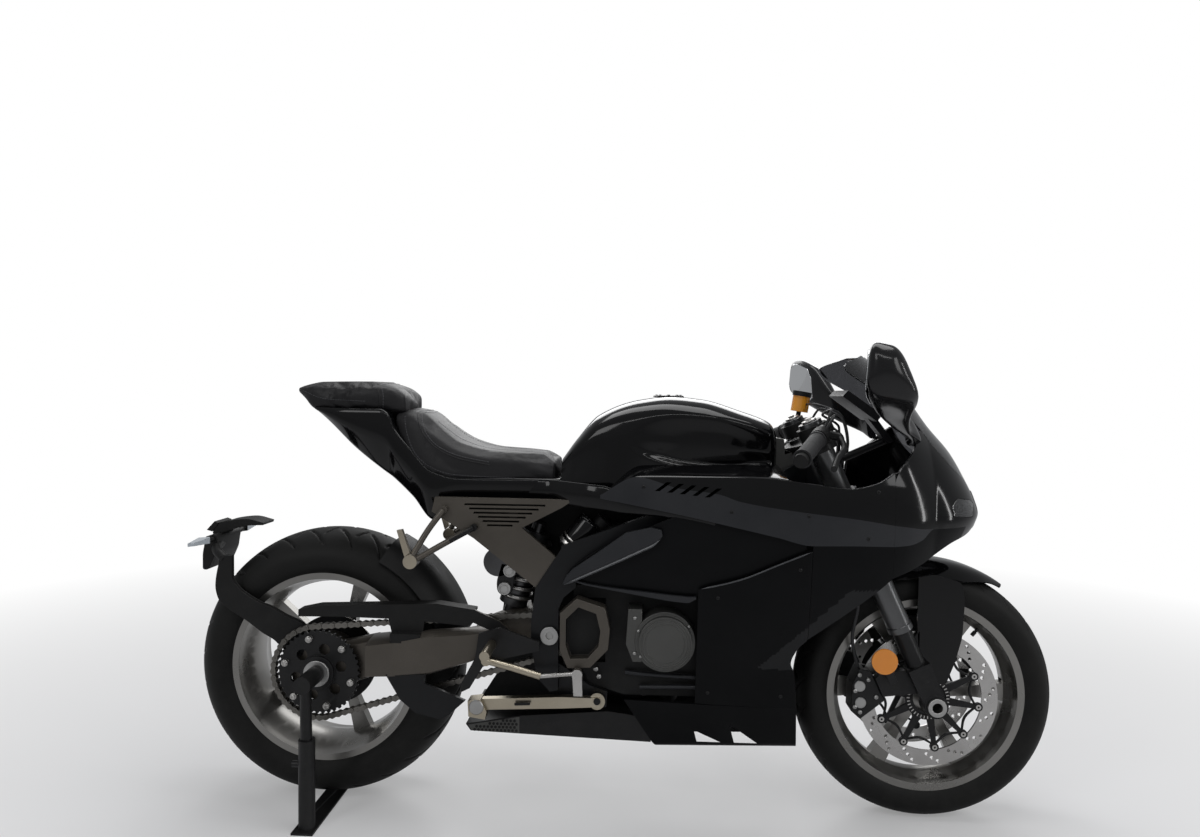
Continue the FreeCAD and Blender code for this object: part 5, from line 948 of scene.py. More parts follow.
def tyre_part(centre, radius, width, seat, steps, lobes):
    """Tyre: rounded crown with slanted grooves, pulled in to the rim, and hollow inside.

    Across the tread, r = shoulder + (radius - shoulder) * cos(v)^0.92; a groove lowers r where a
    saw-toothed line of the angle passes by.
    """
    half = width / 2
    shoulder = radius - 0.34 * width
    v = spread(-math.pi / 2, math.pi / 2, 61)
    crown_y = half * np.sin(v)
    crown_r = shoulder + (radius - shoulder) * np.cos(v) ** 0.92
    wall_t = spread(0, 1, 9)[1:]
    wall_r = shoulder - (shoulder - RIM_EDGE) * wall_t
    wall_y = half - (half - seat - 3) * wall_t ** 1.9
    bead = np.array(((219.0, seat - 1.5), (218.4, seat - 9), (RIM_EDGE, seat - 14)))
    inner_v = spread(math.pi / 2, -math.pi / 2, 17)
    inner_y = (half - 9) * np.sin(inner_v)
    inner_r = shoulder + (radius - 9 - shoulder) * np.cos(inner_v) ** 0.92
    right_side = np.stack([wall_r, wall_y], -1)
    profile = np.vstack([
        np.stack([crown_r, crown_y], -1), right_side, bead,
        np.stack([inner_r, inner_y], -1),
        (bead * (1, -1))[::-1], (right_side * (1, -1))[::-1]])
    angle = round_angles(steps)[:, None]
    r = np.broadcast_to(profile[:, 0], (steps, len(profile))).copy()
    across = profile[:len(v), 1][None, :] / half
    out = np.abs(across)
    wave = angle * lobes / (2 * math.pi)
    first = np.abs((wave + out * 1.15) % 1.0 - 0.5)
    second = np.abs((wave - 0.55 * out + 0.35 + 0.25 * np.sign(across)) % 1.0 - 0.5)
    cut = (1 - ease(0.030, 0.055, first)) * ease(0.16, 0.24, out) * (1 - ease(0.80, 0.86, out))
    other = ((1 - ease(0.022, 0.045, second)) * ease(0.05, 0.10, out)
             * (1 - ease(0.42, 0.50, out)))
    r[:, :len(v)] -= GROOVE * np.maximum(cut, other)
    points = np.stack([centre[0] + r * np.cos(angle), 0 * r + profile[:, 1],
                       centre[2] + r * np.sin(angle)], -1)
    return grid(points, close_u=True, close_v=True)


def chain_path():
    """Centres of the chain's pins and the way along it: two straight runs and two arcs."""
    pitch = PITCH
    rear, drive = (pitch / (2 * math.sin(math.pi / teeth)) for teeth in (REAR_TEETH, DRIVE_TEETH))
    run = DRIVE - REAR_AXLE
    length = math.hypot(run[0], run[2])
    lean, gain = math.atan2(run[2], run[0]), math.asin((rear - drive) / length)
    straight = length * math.cos(gain)
    arc_rear, arc_drive = rear * (math.pi + 2 * gain), drive * (math.pi - 2 * gain)
    total = 2 * straight + arc_rear + arc_drive
    links = 2 * round(total / pitch / 2)
    d = np.arange(links) * total / links
    top, low = lean + math.pi / 2 - gain, lean - math.pi / 2 + gain

    def on(centre, radius, angle):
        return np.stack([centre[0] + radius * np.cos(angle), CHAIN_Y + 0 * angle,
                         centre[2] + radius * np.sin(angle)], -1)
    zero = np.zeros_like(d)
    share = (d / straight)[:, None]
    run_top = on(DRIVE, drive, top + zero) * (1 - share) + on(REAR_AXLE, rear, top + zero) * share
    round_rear = on(REAR_AXLE, rear, top + (d - straight) / rear)
    share = ((d - straight - arc_rear) / straight)[:, None]
    run_low = on(REAR_AXLE, rear, low + zero) * (1 - share) + on(DRIVE, drive, low + zero) * share
    round_drive = on(DRIVE, drive, low + (d - 2 * straight - arc_rear) / drive)
    stage = np.select([d < straight, d < straight + arc_rear, d < 2 * straight + arc_rear],
                      [0, 1, 2], 3)
    return np.stack([run_top, round_rear, run_low, round_drive])[stage, np.arange(links)]


def placed(part, origins, forwards):
    """Copies of a part, each at an origin with its X along a forward direction in X and Z."""
    points, quads = part
    forward = forwards / np.linalg.norm(forwards, axis=1)[:, None]
    up = np.stack([-forward[:, 2], 0 * forward[:, 0], forward[:, 0]], -1)
    moved = (origins[:, None] + points[None, :, 0, None] * forward[:, None]
             + points[None, :, 1, None] * np.array((0.0, 1.0, 0.0))
             + points[None, :, 2, None] * up[:, None])
    count = len(points)
    faces = quads[None] + (np.arange(len(origins)) * count)[:, None, None]
    return moved.reshape(-1, 3), faces.reshape(-1, 4)


def link_plate(y_from, y_to, pitch=15.8, radius=6.9, waist=4.3):
    """Chain plate: round at both pins and waisted between them, as a closed flat form."""
    turn = spread(-math.pi / 2, math.pi / 2, 6)
    right = np.stack([pitch / 2 + radius * np.cos(turn), radius * np.sin(turn)], -1)
    left = np.stack([-pitch / 2 - radius * np.cos(turn), -radius * np.sin(turn)], -1)
    ring = np.vstack([right, [(0.0, waist)], left, [(0.0, -waist)]])
    return prism(ring, y_from, y_to)


def fork_point(ahead, up):
    """Place in the bike's middle plane, ahead of the front axle and up along the fork."""
    return FRONT_AXLE + FORK_UP * up + FORK_AHEAD * ahead


def guard_shell(axle, radius, drop, power, half, wall, angle):
    """Band over a tyre between two shells; out to the sides R = radius - drop |sin v|^power."""
    turn = spread_v(-math.pi / 2, math.pi / 2, 33)
    shells = []
    for sunk in (0.0, wall):
        reach = radius - sunk - drop * np.abs(np.sin(turn)) ** power + 0 * angle
        shells.append(np.stack([axle[0] + reach * np.cos(angle),
                                (half - sunk) * np.sin(turn) + 0 * angle,
                                axle[2] + reach * np.sin(angle)], -1))
    return capped(np.concatenate([shells[0], shells[1][:, ::-1]], 1))


def mudguard_parts():
    """Front mudguard: a crowned band over the tyre, a skirt on each side and its stays.

    Across the band y = half * sin(v), and the radius falls from the crown by drop * |sin v|^3.
    """
    angle = np.radians(spread_u(54, 122, 60))
    half, drop = columns(MUDGUARD, np.degrees(angle))
    parts = [guard_shell(FRONT_AXLE, 319.5, drop + 7, 3.2, half, 3.0, angle)]
    axle = FRONT_AXLE[[0, 2]]
    stay = np.array(((-25, 160), (-25, 96), (-58, 92), (-64, 112)))
    parts += both([prism(rounded_ring(SKIRT, 12.0, 5) + axle, 73.5, 77.0),
                   prism(stay + axle, 73.5, 77.0)])
    foot = fork_point(-8, 112)
    parts += both([rod(foot + (0, 75, 0), foot + (0, FORK_SPREAD - 21.8, 0), 7.0)])
    return parts


def hugger_part():
    """Rear hugger: a band close over the tyre, ahead of it; its radius falls off to the sides."""
    return guard_shell(REAR_AXLE, 348, 52, 3.4, 103, 3.5, np.radians(spread_u(14, 62, 40)))


def torus(centre, radius, thick, y, steps=72, wave=None):
    """Ring about the Y axis: P = c + (r + t cos v)(cos a, sin a), y + t sin v; wave adds to r."""
    angle, v = round_angles(steps)[:, None], round_angles(10)[None, :]
    r = radius + thick * np.cos(v) + (0 if wave is None else wave(angle))
    return grid(np.stack([centre[0] + r * np.cos(angle), y + thick * np.sin(v) + 0 * angle,
                          centre[2] + r * np.sin(angle)], -1), close_u=True, close_v=True)


def skin_line(x, z, side, sunk=0.0):
    """Points on the fairing along a line of X and Z."""
    x, z = np.broadcast_arrays(np.asarray(x, float), z)
    return np.stack([x, side * (fairing_half(x, z) - sunk), z], -1)


def lip(x, z, side, radius, sunk=0.0):
    """Rolled edge along a line on the fairing, tapered at both ends."""
    path = skin_line(x, z, side, sunk)
    share = spread(0, 1, len(path))
    taper = np.minimum(1.0, 12 * np.minimum(share, 1 - share)) + 0.02
    return swept(path, circle(radius, 8), taper)


def panel_edges(side):
    """Lips in lighter grey as a painted highlight: over the recess, under the stripe's cover and
    along the lower panel.
    """
    x = spread(188, 420, 60)
    parts = [lip(x, smooth(LOWER_TOP, x) + 0.5, side, 2.0, 0.6)]
    x = spread(-118, 99, 60)
    parts.append(lip(x, smooth(COVER_LOW, x), side, 3.4, -0.6))
    return parts


def ledge_part(side):
    """Ledge under the recess: a band on the full width of the fairing, deeper towards the front."""
    x, share = spread_u(-104, 178, 60), spread_v(0, 1, 7)
    deep = 4.0 + 10.0 * ease(-60, 150, x) - 8.0 * ease(160, 178, x)
    return skin(x, smooth(MIDDLE_LOW, x) + 2 - deep * (1 - share), side,
                3.0 - 3.0 * ease(-104, 60, x))


def knob(x, y, z, radius, side=RIGHT):
    """Round adjuster with a groove turned in its face."""
    k = radius / 16
    profile = np.array([(0.01, 0), (8.5, 0), (9.5, 1.6), (11.5, 1.6), (12.5, 0), (15, 0), (16, 1),
                        (16, 13), (0.01, 13)], float) * k
    profile[:, 1] *= -side
    return turned(profile, (x, y, z), 40)


def fin_tubes():
    """Radiator core: flat tubes across the front face, one above the other."""
    return [rod(*((386.5 + 20 * t, y, 646 - 230 * t) for y in (-124, 124)), 2.4, 8)
            for t in spread(0, 1, 25)]


def mesh_holes():
    """Hexagonal openings of the silencer's end grille, in staggered rows."""
    holes = []
    turn = np.radians(30 + 60 * np.arange(6))
    for up in range(5):
        z = 208.5 + 7.8 * up
        for x in -340 + 9.0 * np.arange(14) + 4.5 * (up % 2):
            if -338 + (z - 208) * 0.3 < x < -228 and z < min(239, 210 + 34 * (x + 352) / 126):
                holes.append(prism(np.stack([x + 3.7 * np.cos(turn), z + 3.7 * np.sin(turn)], -1),
                                   -113.4, -111.0))
    return holes


def coil(start, end, radius, wire, turns):
    """Spring: P(t) = axis(t) + radius (cos, sin)(turns t), as a tube."""
    start, end = np.asarray(start, float), np.asarray(end, float)
    out = (end - start) / np.linalg.norm(end - start)
    side, up = across_of(out)
    t = spread_u(0, 1, int(24 * turns))
    angle = 2 * math.pi * turns * t
    return swept(blend(start, end, t) + radius * (np.cos(angle) * side + np.sin(angle) * up),
                 circle(wire, 8))


def bar_point(share, side):
    """Place along a handlebar from its clamp (0) to its end (1)."""
    first, last = fork_point(36, 682) + (0, FORK_SPREAD, 0), fork_point(-89, 669) + (0, 342, 0)
    return blend(first, last, share) * (1, side, 1)


def grip_part(side):
    """Ribbed grip: the radius rises and falls along the bar between two collars."""
    t = spread(0, 1, 121)
    path = blend(bar_point(0.425, side), bar_point(0.935, side), t[:, None])
    ribs = 17.0 + 0.9 * np.abs(np.sin(26 * math.pi * t)) ** 0.5
    collar = np.where((t < 0.04) | (t > 0.97), 20.0, ribs)
    return swept(path, circle(1.0, 28), collar)


def mirror_glass_part():
    """Glass on the rear of a housing: set in from its rim, bulging by 2 mm at the middle."""
    y = spread(292, 408, 30)
    ux, uz, fx, fz, gx, gz, lx, lz = (a[:, None] for a in columns(MIRROR, y))
    t = spread_v(0.10, 0.90, 16)
    s = ((y - 292) / 116)[:, None]
    bulge = 2.0 * (4 * s * (1 - s)) * (4 * t * (1 - t))
    ends = ease(0, 0.14, s) * ease(0, 0.22, 1 - s)
    t = 0.5 + (t - 0.5) * (0.55 + 0.35 * ends)
    return sheet(blend(ux, lx, t) - 0.4 - bulge, y[:, None], blend(uz, lz, t), (-1, 0, 0))


def stitches(points, normals, length=4.2, gap=2.4, thick=0.55):
    """Short raised threads along a line on a surface, one after another."""
    run = np.concatenate([[0], np.cumsum(np.linalg.norm(np.diff(points, axis=0), axis=1))])
    starts = np.arange(1.0, run[-1] - length, length + gap)
    made = []
    for start in starts:
        at = np.array([start, start + length / 3, start + 2 * length / 3, start + length])
        place = np.stack([np.interp(at, run, points[:, k]) for k in range(3)], -1)
        out = np.stack([np.interp(at, run, normals[:, k]) for k in range(3)], -1)
        lift = np.array((-0.2, 0.45, 0.45, -0.2))[:, None]
        made.append(swept(place + out * lift, circle(thick, 6)))
    return made


# Settings a user would change

class BikeBodywork(bpy.types.PropertyGroup):
    """Sizes of the panels and the tank."""
    wall: FloatProperty(name="Panel wall", description="Thickness of the moulded panels",
                        default=0.0035, min=0.001, max=0.006, unit="LENGTH")
    rim: FloatProperty(name="Panel rim", description="Rounding along the panels' edges",
                       default=0.0011, min=0.0, max=0.003, unit="LENGTH")
    screen_wall: FloatProperty(name="Screen wall", description="Thickness of the windscreen",
                               default=0.003, min=0.001, max=0.005, unit="LENGTH")
    screen_tint: FloatVectorProperty(name="Screen tint", description="Colour of the smoked screen",
                                     default=(0.045, 0.046, 0.050), size=3, min=0.0, max=1.0,
                                     subtype="COLOR")


class BikeWheels(bpy.types.PropertyGroup):
    """Sizes of the tyres and the chain."""
    tread_steps: IntProperty(name="Tread steps", description="Divisions of a tyre round its axle",
                             default=720, min=180, max=900)
    lobes: IntProperty(name="Tread pitches", description="Repeats of the groove pattern",
                       default=26, min=8, max=60)
    roller: FloatProperty(name="Chain roller", description="Diameter of the chain's rollers",
                          default=0.010, min=0.006, max=0.012, unit="LENGTH")


class BikeCushions(bpy.types.PropertyGroup):
    """How the cushions are blown up and sewn."""
    pressure: FloatProperty(name="Pressure", description="Air pressure while the covers swell",
                            default=4.0, min=0.0, max=10.0)
    cap: FloatProperty(name="Swell", description="How far a point of a cover may move",
                       default=0.007, min=0.0, max=0.02, unit="LENGTH")
    voxel: FloatProperty(name="Voxel", description="Size of the even mesh that is simulated",
                         default=0.005, min=0.003, max=0.01, unit="LENGTH")


class BikeStage(bpy.types.PropertyGroup):
    """Floor, light and camera."""
    lens: FloatProperty(name="Lens", description="Focal length on a 36 mm wide sensor",
                        default=24.0, min=10.0, max=100.0)
    floor: FloatVectorProperty(name="Floor", description="Colour of the plain floor",
                               default=(0.60, 0.60, 0.61), size=3, min=0.0, max=1.0,
                               subtype="COLOR")
    key: FloatProperty(name="Key light", description="Power of the large soft light",
                       default=46.0, min=0.0, max=400.0, subtype="POWER")


class BIKE_OT_finishes(bpy.types.Operator):
    """Make the shared effects and every finish"""
    bl_idname = "bike.finishes"
    bl_label = "Finishes"

    def execute(self, context):
        vector, number = "NodeSocketVector", "NodeSocketFloat"
        effect("grain", [("Place", vector, None), ("Scale", number, 900.0)],
               [("Height", number), ("Drift", number)], build_grain)
        effect("wear", [("Place", vector, None), ("Amount", number, 0.2)],
               [("Mask", number)], build_wear)
        effect("dust", [("Place", vector, None), ("Amount", number, 0.2)],
               [("Mask", number)], build_dust)
        effect("rings", [("Place", vector, None)], [("Height", number)], build_rings)
        for row in FINISHES:
            make_finish(row)
        tint = tuple(context.scene.bike_bodywork.screen_tint)
        make_glass("smoke_screen", tint, tuple(0.9 * c for c in tint), 0.03)
        make_glass("lamp_lens", (0.22, 0.225, 0.235), (0.18, 0.185, 0.195), 0.04)
        return {"FINISHED"}


class BIKE_OT_fairing(bpy.types.Operator):
    """Side panels, nose, lamps and windscreen"""
    bl_idname = "bike.fairing"
    bl_label = "Fairing"

    def execute(self, context):
        looks = context.scene.bike_bodywork
        wall, rim = looks.wall / MM, looks.rim / MM
        for side, node_name in ((RIGHT, "side_fairing_right"), (LEFT, "side_fairing_left")):
            parts, bands, vents = side_panel(side)
            piece("side_panel_" + node_name.split("_")[-1], "chassis", parts,
                  ("gloss_black", "grey_panel", "dark_panel", "satin_black"), (node_name,),
                  closed=False, wall=wall, edge=rim, cuts=vents, bands=bands)
        parts, tones = nose_parts()
        lamp = np.array(LAMP) - LAMP_CENTRE
        holes = [prism(LAMP_CENTRE + 1.03 * lamp, side * 26, side * 240) for side in SIDES]
        piece("nose", "chassis", parts, ("gloss_black", "grey_panel", "dark_panel"),
              ("nose_fairing",), closed=False, wall=wall, edge=rim, cuts=holes, bands=tones)
        bowls, bulbs = [], []
        for side in SIDES:
            bowls.append(on_fairing(LAMP_CENTRE + 0.99 * lamp, LAMP_CENTRE, side, -13.0))
            for x, z in ((764, 758), (792, 755)):
                half = float(fairing_half(np.array(float(x)), np.array(float(z))))
                bulbs.append(rod((x - 10, side * (half - 26), z), (x + 3, side * (half - 7), z),
                                 8.5, 24, 5.0))
            x = spread(748, 804, 24)
            path = skin_line(x, 746.5 - 0.07 * (x - 748), side, 7.0)
            bulbs.append(swept(path, circle(1.6, 8)))
        piece("lamp_bowls", "chassis", bowls, "gloss_black", closed=False, wall=2.0)
        piece("lamp_bulbs", "chassis", bulbs, "dark_alloy")
        lens = [on_fairing(np.array(LAMP, float), LAMP_CENTRE, side, 0.0) for side in SIDES]
        piece("headlamp_lenses", "chassis", lens, "lamp_lens", ("headlamps",), closed=False,
              wall=3.0, edge=0.8)
        piece("screen", "chassis", screen_parts(), "smoke_screen", ("windscreen",), closed=False,
              wall=looks.screen_wall / MM, edge=0.6)
        screws = [bolt(skin_line(x, z, side, 0.4).reshape(3), (0, side, 0), 4.2, 2.2)
                  for side in SIDES for x, z in SCREWS]
        piece("fairing_screws", "chassis", screws, "black_metal")
        return {"FINISHED"}


class BIKE_OT_lower_panels(bpy.types.Operator):
    """Middle panels, lower side panels and the keel"""
    bl_idname = "bike.lower_panels"
    bl_label = "Lower panels"

    def execute(self, context):
        looks = context.scene.bike_bodywork
        wall, rim = looks.wall / MM, looks.rim / MM
        middle = [band_of(spread(-108, 412, 110), MIDDLE_LOW, MIDDLE_HIGH, 24, side, 12.0)
                  for side in SIDES]
        piece("middle_skin", "chassis", middle, "dark_panel", ("middle_panels",), closed=False,
              wall=wall, edge=rim)
        u, v = spread_u(0, 1, 60), spread_v(0, 1, 70)
        z = blend(298, smooth(LOWER_TOP, 182 + 240 * u), v)
        x = blend(182, smooth(LOWER_FRONT, z), u)
        z = blend(298, smooth(LOWER_TOP, x), v)
        sides = [skin(x, z, side) for side in SIDES]
        tones = [front_band(points[quads].mean(1)).astype(int) for points, quads in sides]
        keel = []
        for share in spread(0, 1, 40):
            high = float(fairing_half(np.array(60 + 346 * share), np.array(300.0)))
            low = 182 + 9 * share
            line = filleted([(high, 300), (KEEL_HALF, low + 2), (0, low)], 16.0, 9)
            ring = np.vstack([line, (line[::-1] * (-1, 1))[1:]])
            rear, front = smooth(KEEL_REAR, ring[:, 1]), smooth(LOWER_FRONT, ring[:, 1])
            keel.append((blend(rear, front, share), ring[:, 0], ring[:, 1]))
        floor_sheet = sheet(*np.array(keel).transpose(1, 0, 2), (0, 0, -1))
        slots = [prism(slot, side * 60, side * 200) for slot in KEEL_SLOTS for side in SIDES]
        slots += [prism([(184, 176), (340, 176), (340, 201), (184, 201)], side * 28, side * 108)
                  for side in SIDES]
        piece("belly_skin", "chassis", sides, ("dark_panel", "satin_black"), ("lower_fairing",),
              closed=False, wall=wall, edge=rim, bands=tones)
        piece("keel_skin", "chassis", [floor_sheet], "dark_panel", closed=False, wall=wall,
              edge=rim, cuts=slots)
        covers, ledges, edges = [], [], []
        for side in SIDES:
            covers.append(on_fairing(np.array(FRAME_COVER, float), np.array((0.0, 663.0)), side,
                                     0.5))
            ledges.append(ledge_part(side))
            edges += panel_edges(side)
        piece("frame_covers", "chassis", covers, "grey_panel", closed=False, wall=9.0, edge=1.5)
        piece("tank_ledges", "chassis", [tank_ledge(side) for side in SIDES], "gloss_black",
              closed=False, wall=wall, edge=rim)
        piece("cockpit_rims", "chassis", [cockpit_rim(side) for side in SIDES],
              "gloss_black", closed=False, wall=2.4, edge=0.8)
        piece("belts", "chassis", [belt_part(side) for side in SIDES], "gloss_black",
              closed=False, wall=wall, edge=rim)
        piece("ledges", "chassis", ledges, "grey_panel", closed=False, wall=7.0, edge=1.0)
        # The lips are painted lighter grey: a painted highlight along the panel edges
        piece("panel_edges", "chassis", edges, "edge_grey")
        return {"FINISHED"}


class BIKE_OT_tank(bpy.types.Operator):
    """Tank with its filler cap, and the tail"""
    bl_idname = "bike.tank"
    bl_label = "Tank and tail"

    def execute(self, context):
        piece("tank", "chassis", [tank_part()], "gloss_black", ("fuel_tank",), sharp=50)
        cap = turned([(0.01, 0), (34, 0), (37, -1), (37, -4), (0.01, -4)], (0, 0, 0), 64)
        rise = np.stack([cap[0][:, 0] + 118, cap[0][:, 2], cap[0][:, 1] + 1001.5], -1)
        screws = [bolt((118 + 29 * math.cos(a), 29 * math.sin(a), 1001), (0, 0, 1), 3.2, 2.4)
                  for a in np.arange(8) * math.pi / 4]
        piece("filler_cap", "chassis", [(rise, cap[1])] + screws, "black_metal", edge=0.5)
        piece("tail", "chassis", [tail_part()], "gloss_black", ("tail_fairing",), sharp=42)
        return {"FINISHED"}


class BIKE_OT_cushions(bpy.types.Operator):
    """Rider's seat and pillion pad, swelled by a cloth simulation and then sewn"""
    bl_idname = "bike.cushions"
    bl_label = "Cushions"

    def execute(self, context):
        soft = context.scene.bike_cushions
        for name, node_name, table in (("rider_cushion", "rider_seat", SEAT),
                                       ("pillion_cushion", "pillion_pad", PILLION)):
            made = piece(name, "chassis", [cushion_part(table, 0.035)], "seat_cover",
                         (node_name,), sharp=180)
            swell(context, made, soft)
            sew(context, made, SEAMS[name])
        return {"FINISHED"}


def sew(context, made, seams):
    """Stitches and piping along lines on a finished cushion, found by looking at it from outside.

    Each seam is a line of points seen from above (X, Y) or from the side (X, Z).
    """
    context.view_layer.update()
    threads, welts = [], []
    for view, corners, kind in seams:
        for side in (SIDES if view == "side" else (RIGHT,)):
            spots, normals = [], []
            for a, b in curve(corners, 90):
                start = (a, 400 * side, b) if view == "side" else (a, b, 1300)
                way = (0, -side, 0) if view == "side" else (0, 0, -1)
                hit, spot, normal, _ = made.ray_cast([v * MM for v in start], way)
                if hit:
                    spots.append(np.array(spot) / MM)
                    normals.append(np.array(normal))
            if len(spots) < 8:
                continue
            spots, normals = np.array(spots), np.array(normals)
            if kind == "stitch":
                threads += stitches(spots, normals)
            else:
                welts.append(swept(spots - 0.6 * normals, circle(1.9, 8)))
    if threads:
        piece(made.name + "_thread", "chassis", threads, "seat_thread", sharp=60)
    if welts:
        piece(made.name + "_piping", "chassis", welts, "seat_cover", sharp=60)


def swell(context, made, soft):
    """Voxel remesh, cloth under pressure for twenty frames, movement capped, one subdivision."""
    even = made.modifiers.new("even", "REMESH")
    even.mode, even.voxel_size = "VOXEL", soft.voxel
    bake(made)
    start = read_points(made.data)
    cloth = made.modifiers.new("cloth", "CLOTH")
    cloth.settings.quality = 5
    cloth.settings.use_pressure = True
    cloth.settings.uniform_pressure_force = soft.pressure
    cloth.settings.effector_weights.gravity = 0.0
    cloth.settings.tension_stiffness = cloth.settings.compression_stiffness = 25
    cloth.point_cache.frame_start, cloth.point_cache.frame_end = 1, 20
    for step in range(1, 21):
        context.scene.frame_set(step)
    bake(made)
    context.scene.frame_set(1)
    moved = read_points(made.data) - start
    far = np.linalg.norm(moved, axis=1)[:, None]
    moved *= np.minimum(1.0, soft.cap / np.maximum(far, 1e-9))
    made.data.vertices.foreach_set("co", (start + moved).ravel())
    made.data.shade_smooth()
    round_off = made.modifiers.new("soft", "SUBSURF")
    round_off.levels = round_off.render_levels = 1


def read_points(mesh):
    """The mesh's points as an array of rows."""
    points = np.empty(3 * len(mesh.vertices))
    mesh.vertices.foreach_get("co", points)
    return points.reshape(-1, 3)


class BIKE_OT_mirrors(bpy.types.Operator):
    """Mirror housings with their glasses"""
    bl_idname = "bike.mirrors"
    bl_label = "Mirrors"

    def execute(self, context):
        piece("mirror_housings", "chassis", both([mirror_part()]), "mirror_shell", ("mirrors",),
              sharp=60)
        piece("mirror_glasses", "chassis", both([mirror_glass_part()]), "mirror_glass",
              closed=False, wall=1.2, edge=0.4)
        return {"FINISHED"}


class BIKE_OT_tyres(bpy.types.Operator):
    """Tyres with carved tread"""
    bl_idname = "bike.tyres"
    bl_label = "Tyres"

    def execute(self, context):
        wheels = context.scene.bike_wheels
        for name, node_name, body, centre, radius, width, seat in (
                ("front_tyre_skin", "front_tyre", "front_wheel", FRONT_AXLE, 300, 120, 44.2),
                ("rear_tyre_skin", "rear_tyre", "rear_wheel", REAR_AXLE, 326, 200, 79.2)):
            piece(name, body, [tyre_part(centre, radius, width, seat, wheels.tread_steps,
                                         wheels.lobes)], "tyre_rubber", (node_name,), sharp=50)
        return {"FINISHED"}


class BIKE_OT_chain(bpy.types.Operator):
    """Drive chain, link by link, with both sprockets"""
    bl_idname = "bike.chain"
    bl_label = "Chain"

    def execute(self, context):
        pins = chain_path()
        after = np.roll(pins, -1, axis=0)
        middle, forward = (pins + after) / 2, after - pins
        plates = [placed(link_plate(y, y + 1.8), middle[first::2], forward[first::2])
                  for first, y in ((0, -5.2), (0, 3.4), (1, -7.2), (1, 5.4))]
        roll = context.scene.bike_wheels.roller / MM / 2
        rollers = [placed(rod((0, -half, 0), (0, half, 0), radius, around), pins, forward)
                   for half, radius, around in ((3.4, roll, 10), (8.0, 2.6, 8))]
        piece("chain_links", "chassis", plates + rollers, "chain_steel", ("drive_chain",),
              sharp=40)
        turn = np.radians(60.0 * np.arange(6) + 45)
        spots = REAR_AXLE[[0, 2]] + 82 * np.stack([np.cos(turn), np.sin(turn)], -1)
        machined("rear_sprocket", "rear_wheel", ("black_metal", "bare_steel"), 0.6,
                 pick=lambda at: (np.linalg.norm(at[:, None, [0, 2]] - spots, axis=2).min(1) < 9)
                 & (at[:, 1] < -121.6))
        piece("sprocket_screws", "rear_wheel",
              [bolt((x, -129.4, z), (0, -1, 0), 6.0, 2.6) for x, z in spots], "bare_steel")
        machined("engine_sprocket", "chassis", "chain_steel", 0.5)
        # The guard's front part, ahead of X = -332, is painted bronze grey as a painted highlight
        # along its chamfered edge; below Z = 400 it is satin black
        machined("chain_guards", "chassis", ("matte_black", "satin_black", "bronze_grey"), 0.8,
                 pick=lambda at: np.where(at[:, 2] < 400, 1, np.where(at[:, 0] > -332, 2, 0)))
        return {"FINISHED"}


class BIKE_OT_wheels(bpy.types.Operator):
    """Cast wheels, discs and axles"""
    bl_idname = "bike.wheels"
    bl_label = "Wheels"

    def execute(self, context):
        machined("front_rim", "front_wheel", "cast_grey", 2.0)
        machined("rear_rim", "rear_wheel", "cast_grey", 2.0)
        black, bright = [], []
        for side in SIDES:
            black.append(torus(FRONT_AXLE, 113.0, 3.2, side * 64, 200,
                               lambda a: -16 * np.abs(np.sin(5 * (a + math.radians(9))))))
            black.append(turned([(41, side * 66), (50, side * 66), (50, side * 69),
                                 (41, side * 69)], FRONT_AXLE, 72))
            for turn in np.radians(np.arange(0, 360, 10)):
                corner = np.array(((-1.1, -3.4), (1.1, -3.4), (1.1, 3.4), (-1.1, 3.4)))
                across = corner[:, 0, None] * (-math.sin(turn), math.cos(turn))
                along = (45.5 + corner[:, 1, None]) * (math.cos(turn), math.sin(turn))
                bright.append(prism(FRONT_AXLE[[0, 2]] + across + along, side * 68.4, side * 69.6))
            for turn in np.radians(36.0 * np.arange(10) - 9):
                at = FRONT_AXLE + 118 * np.array((math.cos(turn), 0, math.sin(turn)))
                bright.append(turned([(2.6, side * 67.2), (6.0, side * 67.2), (6.0, side * 68.6),
                                      (2.6, side * 68.6)], at, 20))
        piece("carrier_rings", "front_wheel", black, "black_metal", edge=0.4)
        piece("speed_rings", "front_wheel", bright, "bare_steel", sharp=30)
        for name, body, centre, tip, turn in (("front_valve", "front_wheel", FRONT_AXLE, 182, 49),
                                              ("rear_valve", "rear_wheel", REAR_AXLE, 186, 20)):
            out = np.array((math.cos(math.radians(turn)), 0, math.sin(math.radians(turn))))
            hub = centre - (0, 16, 0)
            piece(name, body, [rod(hub + start * out, hub + end * out, radius, 16, edge)
                               for start, end, radius, edge in ((216, tip, 3.4, 0.8),
                                                                (tip + 10, tip - 3, 4.6, 1.0))],
                  "black_metal")
        for name, body, axle, inner, edge in (
                ("front_discs", "front_wheel", FRONT_AXLE, 123.0, 0.4),
                ("rear_disc", "rear_wheel", REAR_AXLE, 79.5, 0.5)):
            machined(name, body, ("disc_steel", "black_metal"), edge, pick=lambda at: np.hypot(
                at[:, 0] - axle[0], at[:, 2] - axle[2]) < inner)
        machined("rear_axle", "rear_wheel", "alloy", 1.2)
        machined("front_axle", "steering", "alloy", 1.0)
        return {"FINISHED"}


